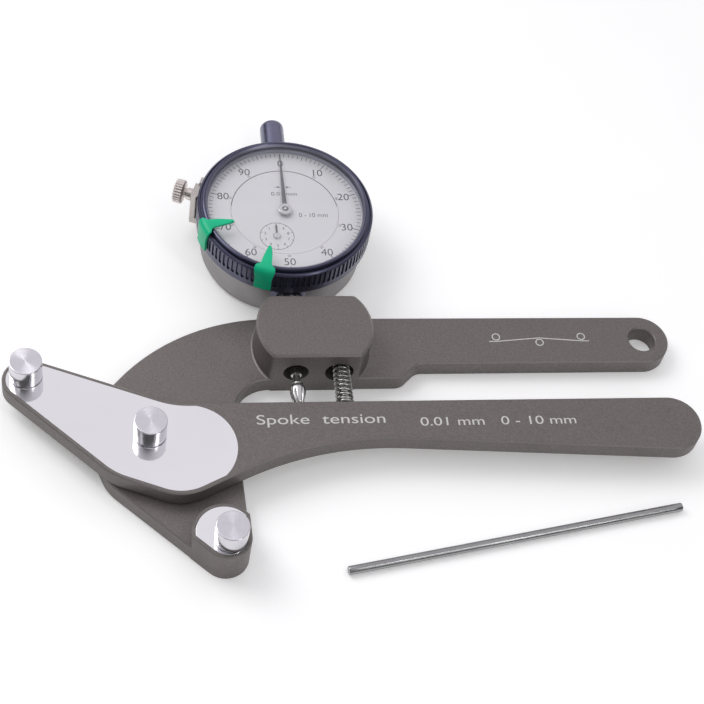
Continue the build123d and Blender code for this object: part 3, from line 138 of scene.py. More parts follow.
def area_light(name, place, target, size, power):
    """A rectangular soft box at place, aimed at target."""
    data = bpy.data.lights.new(name, "AREA")
    data.shape = "RECTANGLE"
    data.size, data.size_y = size
    data.energy = power
    light = bpy.data.objects.new(name, data)
    light.location = place
    light.rotation_euler = (Vector(target) - Vector(place)).to_track_quat("-Z", "Y").to_euler()
    bpy.context.scene.collection.objects.link(light)


SKY_SLANT = (0.2, 0.5, 0.9)
SKY_STOPS = [(0.05, (0.03, 0.03, 0.03, 1)), (0.46, (0.09, 0.09, 0.09, 1)), (0.62, (0.60, 0.60, 0.61, 1)),
             (0.80, (0.80, 0.79, 0.81, 1)), (1.0, (0.84, 0.82, 0.86, 1))]


def make_world():
    """A pale room: bright overhead and behind the tool, dark on the camera's side."""
    world = bpy.data.worlds.new("studio")
    bpy.context.scene.world = world
    world.use_nodes = True
    tree = world.node_tree
    tree.nodes.clear()
    out = tree.nodes.new("ShaderNodeOutputWorld")
    sky = tree.nodes.new("ShaderNodeBackground")
    place = tree.nodes.new("ShaderNodeTexCoord")
    shade = tree.nodes.new("ShaderNodeValToRGB")
    set_ramp(shade, SKY_STOPS)
    slant = tree.nodes.new("ShaderNodeVectorMath")
    slant.operation = "DOT_PRODUCT"
    slant.inputs[1].default_value = SKY_SLANT
    tree.links.new(place.outputs["Generated"], slant.inputs[0])
    tree.links.new(slant.outputs["Value"], shade.inputs["Fac"])
    tree.links.new(shade.outputs["Color"], sky.inputs["Color"])
    tree.links.new(sky.outputs[0], out.inputs["Surface"])
    sky.inputs["Strength"].default_value = 1.0


def set_ramp(ramp, stops):
    """Gives a colour ramp exactly these stops, in order."""
    elements = ramp.color_ramp.elements
    while len(elements) > len(stops):
        elements.remove(elements[-1])
    while len(elements) < len(stops):
        elements.new(1.0)
    for element, (position, colour) in zip(elements, stops):
        element.position = position
        element.color = colour


# ---------------------------------------------------------------- materials
class Material:
    """A Principled material whose detail comes from procedural nodes."""

    def __init__(self, name, colour, roughness, metallic=0.0, **sockets):
        self.data = bpy.data.materials.new(name)
        self.data.use_nodes = True
        self.tree = self.data.node_tree
        self.shader = self.tree.nodes["Principled BSDF"]
        self.colour = (*colour, 1.0)
        self.roughness = roughness
        self.shader.inputs["Base Color"].default_value = self.colour
        self.shader.inputs["Roughness"].default_value = roughness
        self.shader.inputs["Metallic"].default_value = metallic
        for socket, value in sockets.items():
            self.shader.inputs[socket.replace("_", " ")].default_value = value
        self.place = self.node("ShaderNodeTexCoord").outputs["Object"]
        self.height = None

    def node(self, kind, **settings):
        made = self.tree.nodes.new(kind)
        for key, value in settings.items():
            setattr(made, key, value)
        return made

    def link(self, output, socket):
        self.tree.links.new(output, socket)

    def stretched(self, scale):
        """Object coordinates multiplied by scale along each axis."""
        mapping = self.node("ShaderNodeMapping")
        mapping.inputs["Scale"].default_value = scale
        self.link(self.place, mapping.inputs["Vector"])
        return mapping.outputs["Vector"]

    def noise(self, scale, detail=3.0, vector=None):
        made = self.node("ShaderNodeTexNoise")
        made.inputs["Scale"].default_value = scale
        made.inputs["Detail"].default_value = detail
        self.link(vector or self.place, made.inputs["Vector"])
        return made.outputs["Fac"]

    def ramp(self, factor, stops):
        made = self.node("ShaderNodeValToRGB")
        set_ramp(made, stops)
        self.link(factor, made.inputs["Fac"])
        return made.outputs["Color"]

    def spread(self, factor, low, high):
        """A value that runs from low to high as factor runs from 0.3 to 0.7."""
        made = self.node("ShaderNodeMapRange")
        made.inputs["From Min"].default_value = 0.3
        made.inputs["From Max"].default_value = 0.7
        made.inputs["To Min"].default_value = low
        made.inputs["To Max"].default_value = high
        self.link(factor, made.inputs["Value"])
        return made.outputs["Result"]

    def tint(self, factor, change):
        """Base colour that varies by plus or minus change around its own value."""
        low = [channel * (1 - change) for channel in self.colour[:3]] + [1.0]
        high = [min(1.0, channel * (1 + change)) for channel in self.colour[:3]] + [1.0]
        colour = self.ramp(factor, [(0.3, low), (0.7, high)])
        self.link(colour, self.shader.inputs["Base Color"])
        return colour

    def rough(self, factor, change):
        self.link(self.spread(factor, self.roughness - change, self.roughness + change),
                  self.shader.inputs["Roughness"])

    def bump(self, factor, distance, strength=1.0):
        """Adds a relief of this height in metres; later calls stack on earlier ones."""
        made = self.node("ShaderNodeBump")
        made.inputs["Distance"].default_value = distance
        made.inputs["Strength"].default_value = strength
        self.link(factor, made.inputs["Height"])
        if self.height is not None:
            self.link(self.height, made.inputs["Normal"])
        self.height = made.outputs["Normal"]
        self.link(self.height, self.shader.inputs["Normal"])

    def edge_wear(self, colour, highlight_colour, amount):
        """Painted highlight: lightens chamfers, faces that lean about 45 degrees between flat and upright,
        as though they caught the light.
        """
        normal = self.node("ShaderNodeNewGeometry").outputs["True Normal"]
        parts = self.node("ShaderNodeSeparateXYZ")
        self.link(normal, parts.inputs[0])
        lean = self.node("ShaderNodeMath", operation="ABSOLUTE")
        self.link(parts.outputs["Z"], lean.inputs[0])
        off = [0.0, 0.0, 0.0, 1.0]
        band = [amount, amount, amount, 1.0]
        mask = self.ramp(lean.outputs[0], [(0.30, off), (0.60, band), (0.80, band), (0.97, off)])
        mix = self.node("ShaderNodeMix", data_type="RGBA")
        self.link(mask, mix.inputs["Factor"])
        self.link(colour, mix.inputs["A"])
        mix.inputs["B"].default_value = (*highlight_colour, 1.0)
        self.link(mix.outputs["Result"], self.shader.inputs["Base Color"])


def arm_metal():
    """Bead-blasted aluminium, anodised a warm gunmetal grey."""
    made = Material("arm_metal", (0.168, 0.151, 0.145), 0.46, 0.55, Specular_IOR_Level=0.5)
    colour = made.tint(made.noise(1900.0, 5.0), 0.20)
    # painted highlight: the chamfers are lightened to stand for the light that catches the arms' edges
    made.edge_wear(colour, (0.30, 0.28, 0.27), 0.55)
    made.rough(made.noise(70.0, 4.0), 0.05)
    made.bump(made.noise(3000.0, 2.0), 0.00006, 0.8)
    return made.data


def wear_plate_metal():
    """Hardened steel plate polished almost to a mirror, with faint polishing lines."""
    made = Material("wear_plate_metal", (0.86, 0.85, 0.87), 0.07, 1.0)
    lines = made.noise(160.0, 4.0, made.stretched((1.0, 9.0, 1.0)))
    made.tint(made.noise(35.0), 0.02)
    made.rough(lines, 0.015)
    made.bump(lines, 0.000003, 0.12)
    return made.data


def turned_metal(name, colour, roughness, ring_pitch, ring_depth, anisotropic=0.0):
    """Metal with fine rings left by the lathe, about the piece's own Z axis."""
    made = Material(name, colour, roughness, 1.0, Anisotropic=anisotropic)
    rings = made.node("ShaderNodeTexWave", wave_type="RINGS", rings_direction="Z")
    rings.inputs["Scale"].default_value = 1.0 / (ring_pitch * 20.0)
    rings.inputs["Distortion"].default_value = 0.6
    made.link(made.place, rings.inputs["Vector"])
    if anisotropic > 0:
        tangent = made.node("ShaderNodeTangent", direction_type="RADIAL", axis="Z")
        made.link(tangent.outputs[0], made.shader.inputs["Tangent"])
    made.tint(made.noise(900.0), 0.03)
    made.rough(made.noise(1500.0, 2.0), 0.04)
    made.bump(rings.outputs["Fac"], ring_depth, 0.5)
    return made.data


def plain_metal(name, colour, roughness, grain=(1.0, 1.0, 1.0), relief=0.000008):
    """Machined metal with a soft grain, drawn out along one axis where grain says so."""
    made = Material(name, colour, roughness, 1.0)
    lines = made.noise(1400.0, 3.0, made.stretched(grain))
    made.tint(made.noise(160.0), 0.05)
    made.rough(lines, 0.06)
    made.bump(lines, relief, 0.35)
    return made.data


def enamel(name, colour, roughness, metallic=0.0, coat=0.5):
    """Glossy paint or anodising with a faint orange peel."""
    made = Material(name, colour, roughness, metallic, Coat_Weight=coat, Coat_Roughness=0.12)
    made.tint(made.noise(120.0), 0.08)
    made.rough(made.noise(700.0), 0.05)
    made.bump(made.noise(1600.0, 2.0), 0.00001, 0.3)
    return made.data


def moulded(name, colour, roughness, coat=0.0, subsurface=0.0):
    """Moulded plastic with a fine grain."""
    made = Material(name, colour, roughness, 0.0, Coat_Weight=coat, Subsurface_Weight=subsurface,
                    Subsurface_Scale=0.0008, Specular_IOR_Level=0.3)
    made.tint(made.noise(200.0), 0.06)
    made.rough(made.noise(900.0), 0.06)
    made.bump(made.noise(2600.0, 2.0), 0.00001, 0.35)
    return made.data


def dial_metal():
    """The dial's fine satin silver."""
    made = Material("dial_metal", (0.70, 0.69, 0.71), 0.38, 0.25)
    made.tint(made.noise(60.0), 0.02)
    made.rough(made.noise(1800.0, 2.0), 0.05)
    made.bump(made.noise(6500.0, 2.0), 0.000006, 0.3)
    return made.data


def ink(name, colour):
    """Printed or engraved marks, a little uneven."""
    made = Material(name, colour, 0.6)
    made.tint(made.noise(2400.0, 4.0), 0.15)
    made.rough(made.noise(3000.0), 0.1)
    return made.data


def crystal_clear():
    """The dial's clear cover. Mostly see-through, so the dial stays readable."""
    made = Material("crystal_clear", (0.90, 0.93, 0.98), 0.03, 0.0, Alpha=0.07, IOR=1.49)
    made.rough(made.noise(300.0), 0.01)
    return made.data


def floor_paper():
    made = Material("floor_paper", (0.92, 0.92, 0.92), 0.9, 0.0, Emission_Color=(1, 1, 1, 1),
                    Emission_Strength=0.22)
    made.tint(made.noise(12.0), 0.01)
    return made.data


# ---------------------------------------------------------------- mesh helpers
SHARP = radians(32)
WELD = 0.002 * MM
FLAT = radians(0.5)


def add_piece(name, mesh_data, material, body, node=None):
    """Links a mesh as a piece that rides on body, if there is one, and stands for node."""
    piece = bpy.data.objects.new(name, mesh_data)
    bpy.context.scene.collection.objects.link(piece)
    mesh_data.materials.clear()
    mesh_data.materials.append(material)
    if body:
        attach(piece, body)
    if node:
        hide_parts(node)
    return piece


def to_mesh(name, bm, sharp=SHARP):
    """A mesh from bm, shaded smooth except across edges sharper than the given angle."""
    bmesh.ops.recalc_face_normals(bm, faces=bm.faces)
    for face in bm.faces:
        face.smooth = True
    for edge in bm.edges:
        edge.smooth = len(edge.link_faces) == 2 and edge.calc_face_angle(0.0) < sharp
    made = bpy.data.meshes.new(name)
    bm.to_mesh(made)
    bm.free()
    return made


def lathe(bm, profile, turn=None, segments=96, wobble=None):
    """Revolves (radius, height) points about Z into bm, closed where the profile meets the axis.

    turn places the result. wobble, if given, changes a point's radius from (radius, height, angle)."""
    turn = turn or Matrix.Identity(4)
    rings = []
    for radius, height in profile:
        if radius < 1e-9:
            rings.append([bm.verts.new(turn @ Vector((0, 0, height)))])
            continue
        ring = []
        for step in range(segments):
            angle = 2 * pi * step / segments
            here = wobble(radius, height, angle) if wobble else radius
            ring.append(bm.verts.new(turn @ Vector((here * cos(angle), here * sin(angle), height))))
        rings.append(ring)
    for low, high in zip(rings, rings[1:]):
        for step in range(segments):
            after = (step + 1) % segments
            if len(low) == 1 and len(high) == 1:
                continue
            if len(low) == 1:
                bm.faces.new((low[0], high[step], high[after]))
            elif len(high) == 1:
                bm.faces.new((low[step], low[after], high[0]))
            else:
                bm.faces.new((low[step], low[after], high[after], high[step]))
    if len(rings[0]) > 1 and len(rings[-1]) > 1:
        for step in range(segments):
            after = (step + 1) % segments
            bm.faces.new((rings[-1][step], rings[-1][after], rings[0][after], rings[0][step]))


def placed(place, axis=(0, 0, 1)):
    """A matrix that moves the origin to place and turns Z to axis."""
    return Matrix.Translation(place) @ Vector(axis).to_track_quat("Z", "Y").to_matrix().to_4x4()


def soften(node, name, material, width, segments=2, merge=False):
    """Replaces a CAD node by a copy of its own mesh with its edges broken by a small radius.

    merge joins the triangles of flat faces first, for pieces polished like a mirror."""
    bm = bmesh.new()
    bm.from_mesh(nodes[node].data)
    bmesh.ops.remove_doubles(bm, verts=bm.verts, dist=WELD)
    if merge:
        bmesh.ops.dissolve_limit(bm, angle_limit=FLAT, verts=bm.verts, edges=bm.edges)
    piece = add_piece(name, to_mesh(name, bm), material, nodes[node]["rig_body"], node)
    round_edges(piece, width, segments, SHARP)
    return piece


def round_edges(piece, width, segments, sharper_than):
    """Rounds the edges that are sharper than this angle."""
    bevel = piece.modifiers.new("soft_edges", "BEVEL")
    bevel.width = width
    bevel.segments = segments
    bevel.limit_method = "ANGLE"
    bevel.angle_limit = sharper_than
    bevel.harden_normals = True


def recolour(piece, material, chosen):
    """Gives a second material to the faces whose middle and normal are chosen."""
    piece.data.materials.append(material)
    for face in piece.data.polygons:
        if chosen(face.center, face.normal):
            face.material_index = 1


def move_to(piece, place):
    """Moves a piece that was made about the origin."""
    piece.location = place
    bpy.context.view_layer.update()


def prism(bm, outline, low, high, turn=None):
    """A flat solid with this outline of (x, y) points between two heights."""
    turn = turn or Matrix.Identity(4)
    bottom = [bm.verts.new(turn @ Vector((x, y, low))) for x, y in outline]
    top = [bm.verts.new(turn @ Vector((x, y, high))) for x, y in outline]
    bm.faces.new(bottom)
    bm.faces.new(top)
    for here in range(len(outline)):
        after = (here + 1) % len(outline)
        bm.faces.new((bottom[here], bottom[after], top[after], top[here]))


def text_into(bm, words, height, place, thickness, turn=0.0, width=None):
    """Adds words as flat raised letters, centred on place. width, if given, is their full length."""
    curve = bpy.data.curves.new("words", "FONT")
    curve.body = words
    curve.size = 1.0
    curve.align_x = "CENTER"
    curve.extrude = 0.5
    holder = bpy.data.objects.new("words", curve)
    bpy.context.scene.collection.objects.link(holder)
    bpy.context.view_layer.update()
    letters = bpy.data.meshes.new_from_object(holder.evaluated_get(bpy.context.evaluated_depsgraph_get()))
    bpy.data.objects.remove(holder)
    bpy.data.curves.remove(curve)
    xs = [vertex.co.x for vertex in letters.vertices]
    ys = [vertex.co.y for vertex in letters.vertices]
    rise = height / (max(ys) - min(ys))
    run = width / (max(xs) - min(xs)) if width else rise
    middle = Vector(((max(xs) + min(xs)) / 2, (max(ys) + min(ys)) / 2, 0))
    resize = Matrix.Diagonal((run, rise, thickness, 1.0))
    letters.transform(Matrix.Translation(place) @ Matrix.Rotation(turn, 4, "Z") @ resize
                      @ Matrix.Translation(-middle))
    bm.from_mesh(letters)
    bpy.data.meshes.remove(letters)


def arc_band(bm, centre, radius, width, start, end, low, high, steps):
    """A thin curved bar about centre, between two angles."""
    outline = []
    for side, order in ((radius + width / 2, range(steps + 1)), (radius - width / 2, range(steps, -1, -1))):
        for step in order:
            angle = start + (end - start) * step / steps
            outline.append((centre.x + side * cos(angle), centre.y + side * sin(angle)))
    for step in range(steps):
        far = len(outline) - 1 - step
        prism(bm, [outline[step], outline[step + 1], outline[far - 1], outline[far]], low, high)


# ---------------------------------------------------------------- pieces: arms and pins
ARM_EDGE = 0.16 * MM
PLATE_EDGE = 0.10 * MM
MARK_DEPTH = 0.03 * MM
REAR_ARM_TOP = 6.4 * MM
# words, height, place and full length in millimetres
ARM_WORDS = (("Spoke  tension", 4.6, (52.5, 3.9), 40.0), ("0.01 mm   0 - 10 mm", 3.1, (108.5, 3.0), 50.0))


def build_arms(metal, plate, marks):
    soften("rear_arm", "rear_arm_body", metal, ARM_EDGE)
    soften("front_arm", "front_arm_body", metal, ARM_EDGE)
    soften("front_wear_plate", "front_plate", plate, PLATE_EDGE, merge=True)
    soften("rear_wear_plate", "rear_plate", plate, PLATE_EDGE, merge=True)
    top = top_of("front_arm")
    bm = bmesh.new()
    for words, height, (x, y), length in ARM_WORDS:
        text_into(bm, words, height * MM, (x * MM, y * MM, top), MARK_DEPTH, width=length * MM)
    add_piece("front_arm_marks", to_mesh("front_arm_marks", bm), marks, "handle")
    build_rear_mark(marks)


# the sign on the rear arm, in millimetres: pins, the line that bends over them, and stroke widths
SIGN_PINS = ((114.5, 39.6), (129.0, 37.3), (143.5, 39.6))
SIGN_PIN_RADIUS = 1.25
SIGN_PIN_STROKE = 0.35
SIGN_LINE = ((112.0, 37.8), (114.5, 37.8), (129.0, 39.1), (143.5, 37.8), (146.0, 37.8))
SIGN_LINE_HALF = 0.17


def build_rear_mark(marks):
    """A small sign of a spoke bent over three pins."""
    low, high = REAR_ARM_TOP, REAR_ARM_TOP + MARK_DEPTH
    bm = bmesh.new()
    for x, y in SIGN_PINS:
        centre = Vector((x * MM, y * MM, 0))
        arc_band(bm, centre, SIGN_PIN_RADIUS * MM, SIGN_PIN_STROKE * MM, 0, 2 * pi, low, high, 32)
    half = SIGN_LINE_HALF
    for (x0, y0), (x1, y1) in zip(SIGN_LINE, SIGN_LINE[1:]):
        outline = ((x0, y0 - half), (x1, y1 - half), (x1, y1 + half), (x0, y0 + half))
        prism(bm, [(x * MM, y * MM) for x, y in outline], low, high)
    add_piece("rear_arm_mark", to_mesh("rear_arm_mark", bm), marks, "frame")


SHANK_RADII = {"front_tip_pin": 3.0 * MM, "rear_tip_pin": 3.0 * MM, "pivot_pin": 4.0 * MM}
PIN_EDGE = 0.28 * MM
PIN_RELIEF = 0.35 * MM
TURNING_RINGS = 16
TURNING_DEPTH = 0.006 * MM


def build_pin(node, mount, material):
    """An anvil pin: ground side, broken edges and a turned top with a small centre dimple."""
    low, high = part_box(node)
    centre = Vector(mounts[mount]["pos_m"]).xy.to_3d()
    radius = mounts[mount]["dims"]["r_mm"] * MM
    shoulder = high.z - mounts[mount]["dims"]["length_mm"] * MM - PIN_RELIEF
    shank = SHANK_RADII[node]
    profile = [(0, low.z), (shank, low.z), (shank, shoulder), (radius - PIN_RELIEF, shoulder),
               (radius - PIN_RELIEF, shoulder + 0.25 * MM), (radius - 0.1 * MM, shoulder + 0.3 * MM),
               (radius, shoulder + 0.4 * MM)]
    for step in range(5):
        angle = pi / 2 * step / 4
        profile.append((radius - PIN_EDGE * (1 - cos(angle)), high.z - PIN_EDGE * (1 - sin(angle))))
    outer = radius - PIN_EDGE - 0.05 * MM
    for step in range(TURNING_RINGS):
        here = outer * (1 - step / TURNING_RINGS)
        profile.append((here, high.z))
        profile.append((here - outer / TURNING_RINGS * 0.5, high.z - TURNING_DEPTH))
    profile += [(0.22 * MM, high.z), (0, high.z - 0.12 * MM)]
    bm = bmesh.new()
    lathe(bm, profile, segments=128)
    mesh = to_mesh(node, bm)
    piece = add_piece(node + "_turned", mesh, material, nodes[node]["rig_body"])
    move_to(piece, centre)
    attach(piece, nodes[node]["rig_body"])
    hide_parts(node)


# ---------------------------------------------------------------- pieces: springs and plunger
WIRE = 0.45 * MM
COILS = 16.0
CLOSED_COILS = 1.25
STEPS_PER_COIL = 28


def build_return_spring(wire):
    """The compression spring, with closed and ground end coils."""
    low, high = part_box("return_spring")
    centre = (low + high) / 2
    mean = (high.x - low.x) / 2 - WIRE
    start, end = low.y + WIRE * 0.3, high.y - WIRE * 0.3
    steps = int(COILS * STEPS_PER_COIL)
    curve = bpy.data.curves.new("return_spring", "CURVE")
    curve.dimensions = "3D"
    line = curve.splines.new("POLY")
    line.points.add(steps)
    rise = (end - start - 2 * CLOSED_COILS * 2 * WIRE) / (COILS - 2 * CLOSED_COILS)
    for step in range(steps + 1):
        turns = COILS * step / steps
        first = min(turns, CLOSED_COILS)
        last = max(0.0, turns - (COILS - CLOSED_COILS))
        along = start + (first + last) * 2 * WIRE + (turns - first - last) * rise
        angle = 2 * pi * turns
        line.points[step].co = (centre.x + mean * cos(angle), along, centre.z + mean * sin(angle), 1)
    curve.bevel_depth = WIRE
    curve.bevel_resolution = 5
    curve.use_fill_caps = True
    holder = bpy.data.objects.new("spring_line", curve)
    bpy.context.scene.collection.objects.link(holder)
    bpy.context.view_layer.update()
    coil = bpy.data.meshes.new_from_object(holder.evaluated_get(bpy.context.evaluated_depsgraph_get()))
    bpy.data.objects.remove(holder)
    for face in coil.polygons:
        face.use_smooth = True
    piece = add_piece("return_spring_coil", coil, wire, None, "return_spring")
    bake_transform(piece)


SLIT_DEPTH = 0.55 * MM
# SLIT_END and the barrel's radii and distances from the nose are in millimetres
SLIT_END = 5.0
BARREL = ((0.5, 0.05), (0.95, 0.22), (1.3, 0.5), (1.5, 0.8), (1.75, 1.3), (2.05, 2.2), (2.35, 3.4),
          (2.52, 4.6), (2.58, 5.6), (2.5, 6.4), (2.25, 7.1), (1.9, 7.3), (1.9, 7.45), (2.05, 7.5),
          (2.05, 7.8), (1.3, 8.0), (1.15, 8.5), (1.15, 11.0), (1.7, 11.3), (1.7, 14.4), (1.25, 14.6))


def build_contact_point(steel):
    """The plunger's tip: a blunt nose, a slit barrel with a flange, a neck and a collar."""
    low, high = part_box("contact_point")
    centre = (low + high) / 2
    nose = low.y

    def slit(radius, height, angle):
        along = (height - nose) / MM
        if not 0.0 < along < SLIT_END or radius < 1.3 * MM:
            return radius
        return radius - SLIT_DEPTH * min(1.0, along, SLIT_END - along) * abs(cos(3 * angle)) ** 14

    profile = [(0, nose)]
    profile += [(radius * MM, nose + along * MM) for radius, along in BARREL]
    profile += [(BARREL[-1][0] * MM, high.y), (0, high.y)]
    bm = bmesh.new()
    lathe(bm, profile, placed((centre.x, 0, centre.z), (0, 1, 0)), 144, slit)
    add_piece("contact_point_barrel", to_mesh("contact_point", bm), steel, "spindle", "contact_point")


# ---------------------------------------------------------------- pieces: dial
SLOT_COUNT = 100
SLOT_HALF = 0.52 * MM
SLOT_DEPTH = 0.42 * MM
SLOT_FOOT = 16.9 * MM


def build_bezel(paint, slope_sheen_paint):
    """The knurled bezel: upright slots with round feet, open at the top chamfer."""
    low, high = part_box("bezel")
    radius = (high.x - low.x) / 2
    shoulder = high.z - 1.4 * MM
    rows = [(radius - 0.3 * MM, low.z), (radius, low.z + 0.3 * MM), (radius, SLOT_FOOT - 0.25 * MM)]
    slot_foot, foot_steps = len(rows), 5
    for step in range(foot_steps + 1):
        rise = 1 - cos(pi / 2 * step / foot_steps)
        rows.append((radius, SLOT_FOOT + SLOT_HALF * rise))
    groove, lip, case = radius - 0.9 * MM, radius - 3.4 * MM, 26.95 * MM
    foot = top_of("dial_case") + 0.1 * MM
    rows += [(radius, shoulder - 0.95 * MM), (radius, shoulder - 0.7 * MM),
             (radius - 0.15 * MM, shoulder - 0.3 * MM),
             (radius - 0.5 * MM, shoulder), (groove + 0.1 * MM, shoulder), (groove, shoulder - 0.12 * MM),
             (groove - 0.15 * MM, shoulder - 0.5 * MM), (groove - 0.6 * MM, shoulder - 0.5 * MM),
             (groove - 0.7 * MM, shoulder - 0.1 * MM), (groove - 0.75 * MM, high.z - 0.45 * MM),
             (groove - 0.9 * MM, high.z - 0.12 * MM), (groove - 1.2 * MM, high.z),
             (lip + 1.0 * MM, high.z - 0.04 * MM), (lip + 0.8 * MM, high.z - 0.2 * MM),
             (lip + 0.06 * MM, high.z - 0.95 * MM), (lip, high.z - 1.1 * MM),
             (lip + 0.5 * MM, high.z - 1.1 * MM), (lip + 0.5 * MM, foot), (case, foot), (case, low.z)]
    slot_top = slot_foot + foot_steps + 1
    bm = bmesh.new()
    rings = []
    period = 2 * pi / SLOT_COUNT
    for index, (here, height) in enumerate(rows):
        half = 0.0
        if index >= slot_foot:
            rise = min(1.0, (height - SLOT_FOOT) / SLOT_HALF)
            half = SLOT_HALF * sqrt(max(0.0, 1 - (1 - rise) ** 2))
        if index > slot_top:
            half = SLOT_HALF
        half = max(half, 0.03 * MM)
        wall = min(0.10 * MM, half * 0.4)
        ring = []
        for slot in range(SLOT_COUNT):
            for offset, deep in ((-half - 0.04 * MM, 0), (-half + wall, 1), (half - wall, 1),
                                 (half + 0.04 * MM, 0), (period * radius / 2, 0)):
                cut = 0.0
                if deep and slot_foot < index <= slot_top:
                    cut = min(SLOT_DEPTH, max(0.0, here - (radius - SLOT_DEPTH)))
                angle = slot * period + offset / radius
                ring.append(bm.verts.new(((here - cut) * cos(angle), (here - cut) * sin(angle), height)))
        rings.append(ring)
    count = len(rings[0])
    for below, above in zip(rings, rings[1:] + rings[:1]):
        for step in range(count):
            after = (step + 1) % count
            bm.faces.new((below[step], below[after], above[after], above[step]))
    bezel = add_piece("knurled_bezel", to_mesh("bezel", bm, radians(28)), paint, "bezel")
    # painted reflection: the upward-facing inner slope of the lip takes a pale lavender enamel that stands
    # for the bright room it mirrors
    slope_edge, slope_foot = lip + 0.85 * MM, high.z - 1.0 * MM
    recolour(bezel, slope_sheen_paint, lambda middle, normal: middle.xy.length < slope_edge
             and middle.z > slope_foot and normal.z > 0.2)
    move_to(bezel, dial_centre)
    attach(bezel, "bezel")
    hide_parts("bezel")


INK_LOW = -0.005 * MM
INK_HIGH = 0.02 * MM
SCALE_OUTER = 25.35 * MM
TENS_INNER = 23.0 * MM
FIVES_INNER = 23.5 * MM
ONES_INNER = 23.9 * MM
BOLD_HALF = 0.13 * MM
FINE_HALF = 0.09 * MM
NUMBER_REACH, NUMBER_HEIGHT = 21.1 * MM, 2.85 * MM
REVERSE_REACH, REVERSE_HEIGHT = 18.65 * MM, 0.85 * MM
DIGIT_REACH, DIGIT_HEIGHT = 3.95 * MM, 1.05 * MM
COUNTER_RING = 5.55 * MM


def dash(bm, near, far, middle, half, low, high, turn):
    """A straight printed stroke from near to far, along the turned X axis."""
    outline = [(near, middle - half), (far, middle - half), (far, middle + half), (near, middle + half)]
    prism(bm, outline, low, high, turn)


def build_scale(print_ink):
    """Hundred graduations, numbers and reverse numbers on the rotating ring."""
    face = top_of("scale_ring")
    low, high = face + INK_LOW, face + INK_HIGH
    bm = bmesh.new()
    for mark in range(100):
        angle = pi / 2 - 2 * pi * mark / 100
        inner = TENS_INNER if mark % 10 == 0 else FIVES_INNER if mark % 5 == 0 else ONES_INNER
        half = BOLD_HALF if mark % 10 == 0 else FINE_HALF
        turn = Matrix.Translation(dial_centre) @ Matrix.Rotation(angle, 4, "Z")
        dash(bm, inner, SCALE_OUTER, 0.0, half, low, high, turn)
    for ten in range(10):
        angle = pi / 2 - 2 * pi * ten / 10
        place = dial_centre + Vector((NUMBER_REACH * cos(angle), NUMBER_REACH * sin(angle), low))
        text_into(bm, str(ten * 10), NUMBER_HEIGHT, place, high - low)
        small = dial_centre + Vector((REVERSE_REACH * cos(angle), REVERSE_REACH * sin(angle), low))
        if ten:
            text_into(bm, str(100 - ten * 10), REVERSE_HEIGHT, small, high - low, angle - pi / 2)
    add_piece("scale_print", to_mesh("scale_print", bm), print_ink, "bezel")


def build_dial_print(print_ink, pale_ink):
    """Counter scale, unit and range on the fixed plate, and a painted shade line along the upper half of
    the seam at the plate's edge.
    """
    face = top_of("dial_plate")
    low, high = face + INK_LOW, face + INK_HIGH
    bm = bmesh.new()
    arc_band(bm, counter_centre, COUNTER_RING, 0.16 * MM, 0, 2 * pi, low, high, 72)
    for mark in range(10):
        angle = pi / 2 + 2 * pi * mark / 10
        turn = Matrix.Translation(counter_centre) @ Matrix.Rotation(angle, 4, "Z")
        dash(bm, 4.9 * MM, 5.5 * MM, 0.0, 0.07 * MM, low, high, turn)
        place = counter_centre + Vector((DIGIT_REACH * cos(angle), DIGIT_REACH * sin(angle), low))
        text_into(bm, str(mark), DIGIT_HEIGHT, place, high - low)
    # painted shade: a dark ink arc along the upper half of the seam between the plate and the scale ring
    # stands for the shadow in the gap
    seam_shade_radius = (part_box("dial_plate")[1].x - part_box("dial_plate")[0].x) / 2 - 0.1 * MM
    arc_band(bm, dial_centre, seam_shade_radius, 0.2 * MM, radians(8), radians(172), low, high, 90)
    add_piece("counter_print_and_seam_shade", to_mesh("counter_print_and_seam_shade", bm), print_ink, "frame")
    bm = bmesh.new()
    text_into(bm, "0.01 mm", 1.55 * MM, dial_centre + Vector((0.3 * MM, 7.7 * MM, low)), high - low,
              width=8.6 * MM)
    text_into(bm, "0 - 10 mm", 1.8 * MM, dial_centre + Vector((9.3 * MM, -1.4 * MM, low)), high - low,
              width=9.6 * MM)
    for side in (-1, 1):
        near, far = 0.9 * MM * side, 2.9 * MM * side
        y = 10.6 * MM
        dash(bm, near, far, y, 0.08 * MM, low, high, Matrix.Translation(dial_centre))
        prism(bm, [(near + 1.3 * MM * side, y), (near + 0.35 * MM * side, y + 0.45 * MM),
                   (near + 0.35 * MM * side, y - 0.45 * MM)], low, high, Matrix.Translation(dial_centre))
    add_piece("unit_print", to_mesh("unit_print", bm), pale_ink, "frame")


